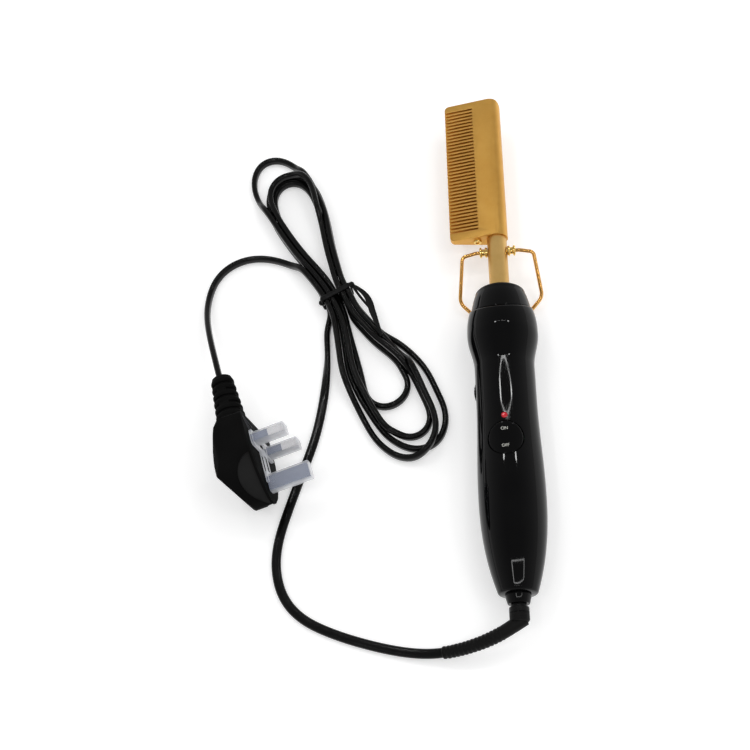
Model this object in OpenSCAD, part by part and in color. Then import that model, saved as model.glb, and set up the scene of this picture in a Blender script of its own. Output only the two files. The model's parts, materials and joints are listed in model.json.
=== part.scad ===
// Electric hot comb with a wire stand, a swivel cord and a sleeved three-pin plug.
// The tool lies on the floor plane, z = 0, with its comb head towards +Y.
// In the tool's own frame the axis of the shaft and handle is Y, the stand's hinge is y = 0,
// and "back" distances run from that hinge towards the tail.
// In the plug's own frame the pins point to +X, the cord leaves towards +Y, and z is across.

/* [Comb head] */
// Length of the comb head
head_len = 92.3; // [80:0.1:105]
// Distance from the stand's hinge to the head's rear end
head_gap = 8.1; // [7:0.1:12]
// Distance from the heater's axis to the tooth edge
tooth_reach = 26; // [22:0.1:30]
// Diameter of the round spine
spine_d = 12.6; // [12:0.1:16]
// Thickness of the head at the tooth edge
edge_t = 3.4; // [2:0.1:5]
// Corner radius at the tooth edge, seen from above
tooth_corner_r = 2.6; // [1:0.1:4]
// Corner radius at the spine's tip, seen from above
spine_corner_r = 3.4; // [1:0.1:5]
// Number of slots between the teeth
slot_count = 37; // [20:1:45]
// Width of one slot
slot_w = 1.05; // [0.6:0.05:1.4]
// Depth of the slots from the tooth edge
slot_depth = 16.2; // [10:0.1:18]
// Distance from the head's tip to the first slot's centre
slot_front = 5.1; // [3.4:0.1:8]
// Distance from the head's rear end to the last slot's centre
slot_rear = 5.4; // [3.4:0.1:9]
// Distance of the head screw from the heater's axis
head_screw_x = 10.7; // [9.5:0.1:13]
// Diameter of the head screw's cap
head_screw_d = 4.4; // [3:0.1:5]
// Height of the head screw's cap
head_screw_cap = 1.5; // [1:0.1:2.5]
// Diameter of the head screw's shank
head_screw_shank = 2.5; // [1.5:0.1:2.8]
// Length of the head screw's shank
head_screw_len = 7; // [4:0.5:12]

/* [Heater] */
// Diameter of the cartridge heater
heater_d = 6.8; // [6:0.1:8]
// Length of the cartridge heater
heater_len = 70; // [40:1:76]
// Diameter of the temperature sensor
sensor_d = 2.4; // [1.5:0.1:3]
// Length of the temperature sensor
sensor_len = 5; // [3:0.5:8]
// Diameter of one heater lead
lead_d = 1.4; // [1:0.1:1.5]
// Distance between the two heater leads
lead_pitch = 2.2; // [1.8:0.1:2.4]

/* [Shaft] */
// Outer diameter of the shaft tube
shaft_d = 11; // [10:0.1:11.8]
// Bore of the shaft tube
shaft_bore = 6.4; // [6:0.1:7]
// Diameter of the spigot that enters the head
spigot_d = 8.2; // [7.8:0.1:9]
// Length of the spigot that enters the head
spigot_len = 10; // [6:0.5:14]
// Distance from the hinge to the rear end of the shaft
shaft_back = 44; // [43:0.5:45]
// Diameter of the rolled flange at the shaft's rear end
shaft_flange_d = 14; // [13:0.1:16]
// Thickness of the rolled flange
shaft_flange_t = 1.4; // [1:0.1:2]
// Wall of the insulating sleeve around the leads
sleeve_wall = 0.8; // [0.5:0.1:0.8]

/* [Stand] */
// Diameter of the stand's wire
wire_d = 2.1; // [1.8:0.1:2.4]
// Distance from the hinge to the crossbar
stand_reach = 37; // [36:0.1:40]
// Half width between the legs at the lower corners
stand_low_half = 23; // [20:0.1:24]
// Distance from the hinge to the lower corners
stand_low_reach = 27; // [24:0.1:29]
// Half width between the legs at the shoulders
stand_top_half = 19.8; // [17:0.1:21.5]
// Drop of the shoulders below the hinge axis
stand_top_drop = 1.6; // [0:0.1:3]
// Half length of the crossbar
crossbar_half = 13.5; // [10:0.1:18]
// Bend radius of the wire at the shoulders
bend_r = 4; // [2.5:0.1:5]
// Bend radius of the wire at the lower corners
low_bend_r = 7; // [4:0.1:8]
// Distance from the middle to the wire's ends in the bushes
wire_start = 3.9; // [3.7:0.1:4.5]
// Straight length of the wire outside a bush
wire_straight = 2; // [1.5:0.1:3]
// Largest diameter of a pivot bush
bush_d = 6; // [5:0.1:7]
// Diameter of the groove in a pivot bush
bush_neck_d = 4; // [3.6:0.1:4.6]
// Length of a pivot bush outside the shaft
bush_len = 4.5; // [3.5:0.1:6]
// Thickness of a pivot bush's flanges
bush_flange_t = 1.2; // [0.9:0.1:1.6]
// Diameter of the shank that holds a bush in the shaft
bush_shank_d = 3.8; // [3.4:0.1:4.2]

/* [Collar] */
// Distance from the hinge to the front of the collar
collar_gap = 26.1; // [24:0.1:28]
// Visible length of the collar
collar_len = 11.1; // [10:0.1:12]
// Radius of the collar's front rim
collar_rim_r = 11.9; // [11.3:0.1:12.5]
// Radius of the collar at the seam with the handle
collar_seam_r = 16.1; // [15.5:0.1:16.2]
// Edge radius of the collar's front rim
collar_edge_r = 2.6; // [1.5:0.1:3]
// Slope of the seam between collar and handle
seam_slope = 18; // [0:1:20]
// Step from the collar up to the handle at the seam
seam_step = 0.5; // [0.2:0.1:1]
// Thickness of the collar's front wall
collar_front_t = 2.6; // [2:0.1:4]
// Inner radius of the collar
collar_bore_r = 10; // [9:0.1:10.5]
// Radius of the collar's spigot inside the handle
collar_spigot_r = 12.6; // [12:0.1:13]
// Length of the collar's spigot inside the handle
collar_spigot_len = 10.5; // [9:0.1:12]

/* [Handle] */
// Radius of the handle at the seam
lip_r = 16.7; // [16.6:0.1:17.4]
// Largest radius of the handle's shoulder
shoulder_r = 19.1; // [18.6:0.1:20]
// Distance from the hinge to the shoulder's highest point
shoulder_back = 52.5; // [50:0.5:55]
// Radius of the waist
waist_r = 16; // [15.7:0.1:16.3]
// Distance from the hinge to the front of the waist
waist_front = 72; // [69:0.5:75]
// Distance from the hinge to the back of the waist
waist_rear = 93; // [90:0.5:98]
// Largest radius of the belly
belly_r = 17.4; // [17:0.1:17.9]
// Distance from the hinge to the belly's highest point
belly_back = 142; // [138:0.5:150]
// Radius of the handle's rear end
tail_r = 9.8; // [9:0.1:11]
// Distance from the hinge to the handle's rear end
handle_back = 195.2; // [190:0.5:205]
// How full the tail's curve is
tail_power = 2.4; // [2:0.1:3]
// Wall thickness of the handle
handle_wall = 2.2; // [1.8:0.1:2.4]
// Diameter of a handle screw's head
screw_head_d = 5; // [4:0.1:5.6]
// Diameter of a handle screw's shank
screw_d = 2.6; // [2:0.1:3]
// Distance of the handle screws from the middle
screw_side = 7; // [6:0.1:8]
// Distance from the hinge to the front pair of screws
screw_front = 60; // [58:0.5:62]
// Distance from the hinge to the rear pair of screws
screw_rear = 158; // [154:0.5:162]

/* [Power button] */
// Sideways place of the button and the lamp
control_x = -1; // [-2:0.1:0]
// Radius of the round button
button_r = 8.8; // [8:0.1:9.4]
// Distance from the hinge to the button's centre
button_back = 118.2; // [116:0.1:122]
// How far the button stands out of the handle
button_proud = 0.5; // [0.2:0.1:1]
// Gap between the button and the handle
button_gap = 0.6; // [0.5:0.05:0.8]
// Half of the button's rocking travel
rock_angle = 3; // [1.5:0.5:4]
// Wall thickness of the button
button_wall = 1.3; // [1:0.1:1.6]
// Height of the button's pivot above the handle's axis
button_pivot_z = 11.5; // [10.5:0.1:11.6]
// Diameter of the button's pivot pin
button_pin_d = 1.6; // [1.2:0.1:2]

/* [Lamp] */
// Diameter of the lamp's lens
lens_d = 3.2; // [2.5:0.1:4]
// Distance from the hinge to the lamp
lamp_back = 105.8; // [104:0.1:106]
// Diameter of the light-emitting diode
led_d = 3; // [2:0.1:3.5]

/* [Temperature wheel] */
// Radius of the temperature wheel
wheel_r = 14.4; // [14:0.1:14.8]
// Sideways place of the wheel's axis
wheel_x = -2.4; // [-3:0.1:-2]
// Thickness of the temperature wheel
wheel_t = 3; // [2:0.1:4]
// Distance from the hinge to the wheel's axis
wheel_back = 85.5; // [82:0.1:88]
// Number of grooves around the wheel
knurl_count = 54; // [36:1:72]
// Diameter of one groove around the wheel
knurl_d = 0.9; // [0.6:0.1:1.2]
// Diameter of the wheel's stub axle
axle_d = 4; // [3:0.1:5]
// Diameter of the potentiometer under the wheel
pot_d = 15; // [12:0.5:18]

/* [Circuit board] */
// Width of the circuit board
board_w = 21; // [18:0.5:21.5]
// Thickness of the circuit board
board_t = 1.6; // [1:0.1:2]
// Height of the board's upper face below the handle's axis
board_drop = 5.2; // [4.8:0.1:6]
// Distance from the hinge to the board's front edge
board_front = 65; // [64.5:0.5:66]
// Distance from the hinge to the board's rear edge
board_rear = 150; // [146:0.5:154]

/* [Tail and swivel] */
// Front radius of the tapered tail ring
ring_front_r = 6.6; // [6:0.1:8]
// Rear radius of the tapered tail ring
ring_rear_r = 5.5; // [5.2:0.1:6]
// Length of the tail ring outside the handle
ring_len = 5; // [3:0.1:8]
// Radius of the neck behind the tail ring
neck_r = 3.9; // [3.4:0.1:4.5]
// Length of the neck behind the tail ring
neck_len = 1.6; // [1:0.1:3]
// Radius of the swivel barrel
barrel_r = 5; // [4.5:0.1:6]
// Length of the swivel barrel
barrel_len = 2.8; // [2:0.1:6]
// Radius of the swivel's stem inside the handle
stem_r = 3; // [2.5:0.1:3.2]
// Length of the swivel's stem inside the handle
stem_len = 18; // [14:0.5:22]

/* [Cord] */
// Width of the flat twin cord
cord_w = 5.2; // [5:0.1:6]
// Thickness of the flat twin cord
cord_t = 3.4; // [3:0.1:4]
// Largest radius of the cord boot at the handle
boot_r = 3.4; // [3.2:0.1:4]
// Radius of the cord boot at its free end
boot_end_r = 2.9; // [2.8:0.1:3.2]
// Height of the wound hank
hank_h = 10.4; // [8:0.1:12]
// Width of the tie's band
tie_w = 3; // [2:0.1:4]
// Thickness of the tie's band
tie_t = 0.8; // [0.5:0.1:1]

/* [Plug] */
// Distance between the live and neutral pins
pin_spacing = 22.2; // [21.8:0.1:22.6]
// Distance from the live and neutral pins to the earth pin
earth_spacing = 22.2; // [21.8:0.1:22.6]
// Width of a live or neutral pin
line_pin_w = 6.35; // [6:0.05:6.6]
// Thickness of every pin
pin_t = 4; // [3.8:0.05:4.2]
// Length of a live or neutral pin
line_pin_len = 17.7; // [17:0.1:18.5]
// Width of the earth pin
earth_pin_w = 8; // [7.6:0.1:8.2]
// Length of the earth pin
earth_pin_len = 22.7; // [22:0.1:23.5]
// Length of the insulating sleeve on a live or neutral pin
pin_sleeve_len = 9.5; // [8:0.1:9.5]
// Wall of the insulating sleeve on a pin
pin_sleeve_wall = 0.6; // [0.4:0.05:0.8]
// How deep the pins sit in the plug's body
pin_root = 8; // [6:0.5:9]
// Half width of the plug at its face
plug_half_w = 23.3; // [22.5:0.1:25]
// Depth of the plug behind its face
plug_depth = 22; // [19:0.1:24]
// Distance from the line pins to the plug's cord end
plug_cord_end = 13.5; // [12:0.1:16]
// Distance from the line pins to the plug's earth end
plug_earth_end = 32.9; // [32.6:0.1:36]
// Slope of the plug's sides
plug_slope = 6.8; // [4:0.1:10]
// Length of the plug's strain relief
relief_len = 34; // [28:0.5:40]
// Radius of the strain relief at the plug
relief_root_r = 8.2; // [7:0.1:9]
// Radius of the strain relief at the cord
relief_end_r = 5.6; // [4.6:0.1:6.4]
// Distance of the strain relief's axis behind the face
relief_drop = 11.8; // [11:0.1:12.6]
// Wall of the pin cover
cover_wall = 0.7; // [0.6:0.05:1]
// Clearance between the pins and the cover
cover_fit = 0.13; // [0.1:0.01:0.25]
// Thickness of the cover's web
web_t = 1.2; // [0.8:0.1:1.6]
// Length of the fuse
fuse_len = 25.4; // [24:0.1:26]
// Diameter of the fuse
fuse_d = 6.3; // [6:0.1:6.5]

/* [Fits] */
// Radial clearance of a running fit
run_fit = 0.05; // [0.02:0.01:0.1]
// Clearance between parts that are pressed or moulded together
seat_fit = 0.03; // [0.01:0.01:0.1]
// Clearance between loose parts
free_gap = 0.3; // [0.2:0.05:0.5]

/* [Hidden] */
$fn = 64;

// Colours
gold = [0.80, 0.58, 0.27];
dull_gold = [0.70, 0.56, 0.32];
bright_brass = [0.90, 0.70, 0.32];
black_plastic = [0.03, 0.03, 0.03];
grey_plastic = [0.45, 0.50, 0.58];
ceramic_white = [0.90, 0.88, 0.84];
board_green = [0.10, 0.35, 0.16];
steel = [0.70, 0.70, 0.72];
clear_cover = [0.85, 0.88, 0.92, 0.5];

// Stations along the tool, as distances back from the hinge
seam_back = collar_gap + collar_len;
seam_top = seam_back + shoulder_r * tan(seam_slope);
seam_bottom = seam_back - shoulder_r * tan(seam_slope);
ring_back = handle_back + ring_len;
neck_back = ring_back + neck_len;
barrel_back = neck_back + barrel_len;
tail_end_back = barrel_back;

// The handle rests on its shoulder and its belly, which sets the tool's slight tilt
tilt = atan((shoulder_r - belly_r) / (belly_back - shoulder_back));
profile_step = 3;
lip_power = 2.5;
axis_z = max([for (b = stations(seam_bottom, handle_back)) handle_r(b) * cos(tilt) + b * sin(tilt)]);

wire_r = wire_d / 2;

// Stand: folded, its crossbar lies on the floor under the collar
stand_angle = asin((axis_z - wire_r) / stand_reach) - tilt;
straight_x = shaft_d / 2 + bush_len + wire_straight;
stand_pts = [[wire_start, 0], [straight_x, 0], [stand_top_half, stand_top_drop],
    [stand_low_half, stand_low_reach], [crossbar_half, stand_reach],
    [-crossbar_half, stand_reach], [-stand_low_half, stand_low_reach],
    [-stand_top_half, stand_top_drop], [-straight_x, 0], [-wire_start, 0]];
stand_bends = [0, bend_r, bend_r, low_bend_r, low_bend_r, low_bend_r, low_bend_r, bend_r, bend_r, 0];

// The origin is under the middle of the tool without its cord
tool_x = (tooth_reach - stand_low_half - wire_r + bend_pull(stand_pts, 3)) / 2;
tool_y = (tail_end_back * cos(tilt) + barrel_r * sin(tilt)
    - (head_gap + head_len) * cos(tilt) - spine_d / 2 * sin(tilt)) / 2;

// Rear half of the head's section: the flat sides touch the round spine
spine_r = spine_d / 2;
edge_far = norm([tooth_reach, edge_t / 2]);
side_angle = asin(spine_r / edge_far) - atan(edge_t / 2 / tooth_reach);

// How far a bend of the wire stays inside its corner point, along X
function bend_pull(pts, i) =
    let (u = unit(pts[i] - pts[i - 1]), v = unit(pts[i + 1] - pts[i]),
        turn = turn_angle(u, v), trim = low_bend_r * tan(abs(turn) / 2),
        centre = pts[i] - u * trim + [-u.y, u.x] * sign(turn) * low_bend_r)
    pts[i].x - centre.x - low_bend_r;

function unit(v) = v / norm(v);
function turn_angle(u, v) = atan2(u.x * v.y - u.y * v.x, u.x * v.x + u.y * v.y);
function lerp(a, b, t) = a + (b - a) * t;

// Falls smoothly from 1 to 0 as t goes from 0 to 1
function fade(t) = (1 + cos(180 * t)) / 2;

// Radius of the collar at a distance back from the hinge
function collar_r(b) =
    collar_rim_r + (collar_seam_r - collar_rim_r) * sqrt(max(b - collar_gap, 0) / collar_len);

// Outer radius of the handle at a distance back from the hinge
function handle_r(b) =
    b < shoulder_back ?
        max(collar_r(b) + seam_step, shoulder_r - (shoulder_r - lip_r)
            * pow((shoulder_back - b) / (shoulder_back - seam_back), lip_power)) :
    b < waist_front ?
        lerp(waist_r, shoulder_r, fade((b - shoulder_back) / (waist_front - shoulder_back))) :
    b < waist_rear ? waist_r :
    b < belly_back ?
        lerp(belly_r, waist_r, fade((b - waist_rear) / (belly_back - waist_rear))) :
        belly_r - (belly_r - tail_r) * pow((b - belly_back) / (handle_back - belly_back), tail_power);

module tool() {
    translate([tool_x, tool_y, axis_z]) rotate([tilt, 0, 0]) children();
}

// Turns a profile of [radius, distance back] points about the tool's axis
module turned() {
    rotate([90, 0, 0]) rotate_extrude() children();
}

// A ring or disc on the tool's axis between two distances back
module ring(front, rear, r_out, r_in = 0) {
    turned() polygon([[r_in, front], [r_out, front], [r_out, rear], [r_in, rear]]);
}

// A rod along the tool's axis direction, between two distances back
module rod(front, rear, d, x = 0, z = 0) {
    translate([x, -front, z]) rotate([90, 0, 0]) cylinder(d = d, h = rear - front);
}

// ---------- Comb head ----------

// Cross-section of the head: a round spine and a wedge down to the tooth edge
module head_section() {
    touch = spine_r * [-sin(side_angle), cos(side_angle)];
    circle(r = spine_r);
    polygon([[-tooth_reach, -edge_t / 2], [touch.x, -touch.y], [0, 0], [touch.x, touch.y],
        [-tooth_reach, edge_t / 2]]);
}

function arc(c, r, from, to, n = 8) =
    [for (i = [0:n]) c + r * [cos(lerp(from, to, i / n)), sin(lerp(from, to, i / n))]];

// Outline of the head from above, with rounded corners
module head_plan() {
    tip = head_gap + head_len;
    side = spine_r + 1;
    polygon(concat(
        arc([-tooth_reach + tooth_corner_r, head_gap + tooth_corner_r], tooth_corner_r, 270, 180),
        arc([-tooth_reach + tooth_corner_r, tip - tooth_corner_r], tooth_corner_r, 180, 90),
        arc([spine_r - spine_corner_r, tip - spine_corner_r], spine_corner_r, 90, 0),
        [[side, tip - spine_corner_r], [side, head_gap]]));
}

slot_pitch = (head_len - slot_front - slot_rear) / (slot_count - 1);
bore_fit = 0.05;
heater_bore_d = heater_d + 2 * bore_fit;
heater_from = head_gap + spigot_len + free_gap;
heater_to = heater_from + heater_len;
sensor_to = heater_to + sensor_len + free_gap;

module comb_head() {
    color(gold) tool() difference() {
        intersection() {
            translate([0, head_gap, 0]) rotate([-90, 0, 0]) linear_extrude(head_len) head_section();
            translate([0, 0, -spine_d]) linear_extrude(2 * spine_d) head_plan();
        }
        for (i = [0:slot_count - 1])
            translate([-tooth_reach - 1, head_gap + slot_rear + i * slot_pitch - slot_w / 2, -spine_r])
                cube([slot_depth + 1, slot_w, spine_d]);
        rod(-heater_from, -head_gap + 1, spigot_d + 2 * run_fit);
        rod(-heater_to - free_gap, -head_gap, heater_bore_d);
        rod(-sensor_to, -heater_to, sensor_d + 2 * bore_fit);
        rod(-head_gap - head_screw_len - free_gap, -head_gap + 1, head_screw_shank + 2 * run_fit,
            x = -head_screw_x);
    }
}

hex_socket = 0.52;

module head_screw() {
    color(bright_brass) tool() difference() {
        union() {
            rod(-head_gap, -head_gap + head_screw_cap, head_screw_d, x = -head_screw_x);
            rod(-head_gap - head_screw_len, -head_gap, head_screw_shank, x = -head_screw_x);
        }
        translate([-head_screw_x, head_gap - head_screw_cap / 3, 0]) rotate([90, 0, 0])
            cylinder(d = head_screw_d * hex_socket, h = head_screw_cap, $fn = 6);
    }
}

module heater_cartridge() {
    color(steel) tool() rod(-heater_to, -heater_from, heater_d);
}

module temperature_sensor() {
    color(ceramic_white) tool() rod(-heater_to - sensor_len, -heater_to, sensor_d);
}

lead_rear = board_front + 1.5;

// Each lead runs back through the shaft and turns down to the circuit board
module heater_leads() {
    color(ceramic_white) tool() for (side = [-1, 1]) {
        rod(-heater_from, lead_rear + lead_d / 2, lead_d, x = side * lead_pitch / 2);
        translate([side * lead_pitch / 2, -lead_rear, -board_drop]) cylinder(d = lead_d, h = board_drop);
    }
}

// ---------- Shaft and stand ----------

sleeve_d = shaft_bore - 2 * free_gap;

module lead_sleeve() {
    color(ceramic_white) tool() difference() {
        rod(-head_gap - spigot_len, shaft_back + 4, sleeve_d);
        rod(-head_gap - spigot_len - 1, shaft_back + 5, sleeve_d - 2 * sleeve_wall);
    }
}

module shaft_tube() {
    color(dull_gold) tool() difference() {
        union() {
            rod(-head_gap, shaft_back, shaft_d);
            rod(-head_gap - spigot_len, -head_gap, spigot_d);
            rod(shaft_back, shaft_back + shaft_flange_t, shaft_flange_d);
        }
        rod(-head_gap - spigot_len - 1, shaft_back + shaft_flange_t + 1, shaft_bore);
        rotate([0, 90, 0]) cylinder(d = bush_shank_d + 2 * seat_fit, h = 2 * shaft_d, center = true);
    }
}

// A bush: a shank in the shaft's wall, a flange, a groove and an outer flange
module pivot_bush(side) {
    seat = shaft_d / 2 + 0.1;
    out = seat + bush_len;
    inner = shaft_bore / 2 + 0.1;
    color(bright_brass) tool() rotate([0, side * 90, 0]) difference() {
        union() {
            translate([0, 0, inner]) cylinder(d = bush_shank_d, h = seat - inner);
            translate([0, 0, seat]) cylinder(d = bush_d, h = bush_flange_t);
            translate([0, 0, seat]) cylinder(d = bush_neck_d, h = bush_len);
            translate([0, 0, out - bush_flange_t]) cylinder(d = bush_d, h = bush_flange_t);
        }
        translate([0, 0, inner - 1]) cylinder(d = wire_d + 2 * run_fit, h = out - inner + 2);
    }
}

module left_pivot_bush() pivot_bush(-1);
module right_pivot_bush() pivot_bush(1);

// Corner points of a flat wire, with every inner corner bent to its own radius
function bent_path(pts, radii, steps) =
    let (last = len(pts) - 1, dirs = [for (i = [0:last - 1]) unit(pts[i + 1] - pts[i])])
    concat([pts[0]], [for (i = [1:last - 1])
        let (turn = turn_angle(dirs[i - 1], dirs[i]), inward = [-dirs[i - 1].y, dirs[i - 1].x] * sign(turn),
            r = radii[i], centre = pts[i] - dirs[i - 1] * r * tan(abs(turn) / 2) + inward * r,
            from = atan2(-inward.y, -inward.x))
        for (k = [0:steps]) centre + r * [cos(from + turn * k / steps), sin(from + turn * k / steps)]],
        [pts[last]]);

module stand_wire() {
    path = [for (p = bent_path(stand_pts, stand_bends, 6)) [p.x, p.y, 0]];
    color(bright_brass) tool() rotate([stand_angle, 0, 0]) mirror([0, 1, 0])
        tube(path, [for (p = path) [wire_r, wire_r]], 16);
}

// ---------- Collar and handle ----------

// The seam is a slanted plane: it lies further back on the top than underneath
module behind_seam(gap = 0) {
    size = 80;
    translate([0, -seam_back - gap, 0]) rotate([seam_slope, 0, 0])
        translate([-size / 2, -4 * size, -2 * size]) cube([size, 4 * size, 6 * size]);
}

collar_rear = seam_back + collar_spigot_len;
flange_front = collar_gap + collar_front_t + free_gap;

module front_collar() {
    first = collar_gap + collar_edge_r;
    edge = arc([collar_r(first) - collar_edge_r, first], collar_edge_r, -90, -12, 5);
    outline = [for (b = stations(first + 0.4, seam_top)) [collar_r(b), b]];
    hole_r = shaft_d / 2 + free_gap;
    inside = collar_gap + collar_front_t;
    color(black_plastic) tool() {
        difference() {
            turned() polygon(concat([[hole_r, collar_gap]], edge, outline,
                [[collar_bore_r, seam_top], [collar_bore_r, inside], [hole_r, inside]]));
            behind_seam(-seam_gap);
        }
        ring(seam_bottom - 2, collar_rear, collar_spigot_r, collar_bore_r);
    }
}

module insulating_flange() {
    color(ceramic_white) tool()
        ring(flange_front, shaft_back, collar_bore_r - free_gap / 2, shaft_d / 2 + seat_fit);
}

seam_gap = 0.1;
end_wall = 2.4;
inner_front = collar_rear + free_gap;
inner_rear = handle_back - end_wall;

// Stations for the handle's outside, a few millimetres apart
function stations(from, to) =
    let (n = ceil((to - from) / profile_step)) [for (i = [0:n]) lerp(from, to, i / n)];

// The handle's wall, as a profile that is turned about the axis
module handle_wall_profile() {
    outer = [for (b = stations(seam_bottom, handle_back)) [handle_r(b), b]];
    inner = [for (b = stations(inner_front, inner_rear)) [handle_r(b) - handle_wall, b]];
    rear_hole = ring_front_r - 1.5 + run_fit;
    polygon(concat([[collar_spigot_r + seat_fit, seam_bottom]], outer,
        [[rear_hole, handle_back], [rear_hole, inner_rear]],
        [for (i = [len(inner) - 1:-1:0]) inner[i]],
        [[collar_spigot_r + seat_fit, inner_front]]));
}

wheel_slot_gap = 0.35;

// The slot for the temperature wheel, cut through both shells on the left
module wheel_slot() {
    translate([wheel_x, -wheel_back, -wheel_t / 2 - wheel_slot_gap])
        cylinder(r = wheel_r + wheel_slot_gap, h = wheel_t + 2 * wheel_slot_gap);
}

boss_r = screw_head_d / 2 + 0.9;
boss_meet = -5;
screw_seat = -9.5;
screw_cap = 2;
screw_len = 12;
screw_spots = [for (b = [screw_front, screw_rear], side = [-1, 1]) [side * screw_side, b]];
thread_bite = 0.4;
rib_t = 1.6;
rib_backs = [board_front + 10, board_rear - 12];

// A boss ends in the middle of the handle's wall
function boss_reach(b) = sqrt(pow(handle_r(b) - handle_wall / 2, 2) - pow(screw_side + boss_r, 2));

// The half above (side = 1) or below (side = -1) the handle's middle plane
module half_space(side) {
    size = 80;
    translate([-size / 2, -handle_back - 1, side > 0 ? 0 : -size])
        cube([size, handle_back + 1, size]);
}

// A shell's wall: one half of the handle's wall, behind the seam
module half_wall(side) {
    intersection() {
        turned() handle_wall_profile();
        half_space(side);
        behind_seam();
    }
}

button_hole_r = button_r + button_gap;

module handle_top_shell() {
    color(black_plastic) tool() difference() {
        union() {
            half_wall(1);
            for (p = screw_spots) translate([p.x, -p.y, boss_meet]) difference() {
                cylinder(r = boss_r, h = boss_reach(p.y) - boss_meet);
                translate([0, 0, -1]) cylinder(d = screw_d - thread_bite, h = screw_len);
            }
        }
        wheel_slot();
        translate([control_x, -button_back, 0]) cylinder(r = button_hole_r, h = 2 * handle_r(button_back));
        translate([control_x, -lamp_back, 0])
            cylinder(d = lens_d + 2 * seat_fit, h = 2 * handle_r(lamp_back));
    }
}

// A cross rib of the lower shell that carries the circuit board
module board_rib(b) {
    size = 2 * (handle_r(b) - handle_wall / 2);
    intersection() {
        rod(b - rib_t / 2, b + rib_t / 2, size);
        translate([-size / 2, -b - rib_t, -size - board_drop - board_t]) cube([size, 2 * rib_t, size]);
    }
}

module handle_bottom_shell() {
    color(black_plastic) tool() difference() {
        union() {
            half_wall(-1);
            for (p = screw_spots) translate([p.x, -p.y, -boss_reach(p.y)])
                cylinder(r = boss_r, h = boss_reach(p.y) + boss_meet);
            for (b = rib_backs) board_rib(b);
        }
        wheel_slot();
        for (p = screw_spots) translate([p.x, -p.y, -shoulder_r]) {
            cylinder(d = screw_d + free_gap, h = shoulder_r);
            cylinder(d = screw_head_d + 2 * free_gap, h = shoulder_r + screw_seat);
        }
    }
}

module handle_screws() {
    recess = 0.8;
    color(steel) tool() for (p = screw_spots) translate([p.x, -p.y, screw_seat]) difference() {
        union() {
            translate([0, 0, -screw_cap]) cylinder(d = screw_head_d, h = screw_cap);
            cylinder(d = screw_d - thread_bite - 2 * seat_fit, h = screw_len);
        }
        for (turn = [0, 90]) rotate([0, 0, turn]) translate([-screw_head_d / 3, -recess / 2, -screw_cap - 1])
            cube([screw_head_d * 2 / 3, recess, screw_cap]);
    }
}

// ---------- Button, lamp and wheel ----------

button_top_r = handle_r(button_back) + button_proud;
button_skirt_z = 6.8;
button_roof = 3.2;
finger_w = 2.4;
finger_t = 2;
finger_drop = 5;
ear_half = 5.2;
ear_t = 1.4;

module rocked() {
    translate([0, -button_back, button_pivot_z]) rotate([rock_angle, 0, 0])
        translate([0, button_back, -button_pivot_z]) children();
}

module power_button() {
    inside = button_top_r - button_roof;
    color(black_plastic) tool() rocked() difference() {
        union() {
            difference() {
                intersection() {
                    translate([control_x, -button_back, button_skirt_z])
                        cylinder(r = button_r, h = 2 * button_r);
                    rod(button_back - 2 * button_r, button_back + 2 * button_r, 2 * button_top_r);
                }
                translate([control_x, -button_back, button_skirt_z - 1])
                    cylinder(r = button_r - button_wall, h = inside - button_skirt_z + 1);
            }
            translate([control_x - finger_w / 2, -button_back - finger_t / 2, button_pivot_z - finger_drop])
                cube([finger_w, finger_t, inside - button_pivot_z + finger_drop + 0.5]);
        }
        translate([control_x, -button_back, button_pivot_z]) rotate([0, 90, 0])
            cylinder(d = button_pin_d + 2 * seat_fit, h = 2 * button_r - button_wall, center = true);
    }
}

module button_pin() {
    color(steel) tool() rocked() translate([control_x, -button_back, button_pivot_z]) rotate([0, 90, 0])
        cylinder(d = button_pin_d, h = 2 * button_r - button_wall - 0.2, center = true);
}

frame_t = 1.4;
frame_len = 13;
ear_len = 5;
ear_over = 1.5;

// A bracket on the circuit board, with two ears for the button's pin
module button_frame() {
    half_w = ear_half + ear_t;
    color(grey_plastic) tool() translate([control_x, 0, 0]) difference() {
        union() {
            translate([-half_w, -button_back - frame_len / 2, -board_drop])
                cube([2 * half_w, frame_len, frame_t]);
            for (x = [-half_w, ear_half]) translate([x, -button_back - ear_len / 2, -board_drop])
                cube([ear_t, ear_len, button_pivot_z + board_drop + ear_over]);
        }
        translate([0, -button_back, button_pivot_z]) rotate([0, 90, 0])
            cylinder(d = button_pin_d + 2 * run_fit, h = 4 * ear_half, center = true);
    }
}

switch_w = 7;
switch_top = button_pivot_z - 3;

// The switch's slot takes the button's finger
module power_switch() {
    floor_z = frame_t - board_drop;
    swing = 2 * finger_drop * sin(rock_angle) + 2 * free_gap;
    color(grey_plastic) tool() translate([control_x, -button_back, 0]) difference() {
        translate([-switch_w / 2, -switch_w / 2, floor_z])
            cube([switch_w, switch_w, switch_top - floor_z]);
        translate([-finger_w / 2 - free_gap, -finger_t / 2 - swing / 2, button_pivot_z - finger_drop - 1])
            cube([finger_w + 2 * free_gap, finger_t + swing, finger_drop]);
    }
}

lens_top_r = handle_r(lamp_back) + 0.3;
lens_root_z = handle_r(lamp_back) - handle_wall - 1.5;

module lamp_lens() {
    color("red") tool() intersection() {
        translate([control_x, -lamp_back, lens_root_z]) cylinder(d = lens_d, h = handle_wall + 3);
        rod(lamp_back - lens_d, lamp_back + lens_d, 2 * lens_top_r);
    }
}

led_len = 5;
led_leg_d = 0.6;
led_leg_x = 1.27;
led_leg_end = -board_drop - board_t - led_leg_d;

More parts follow.
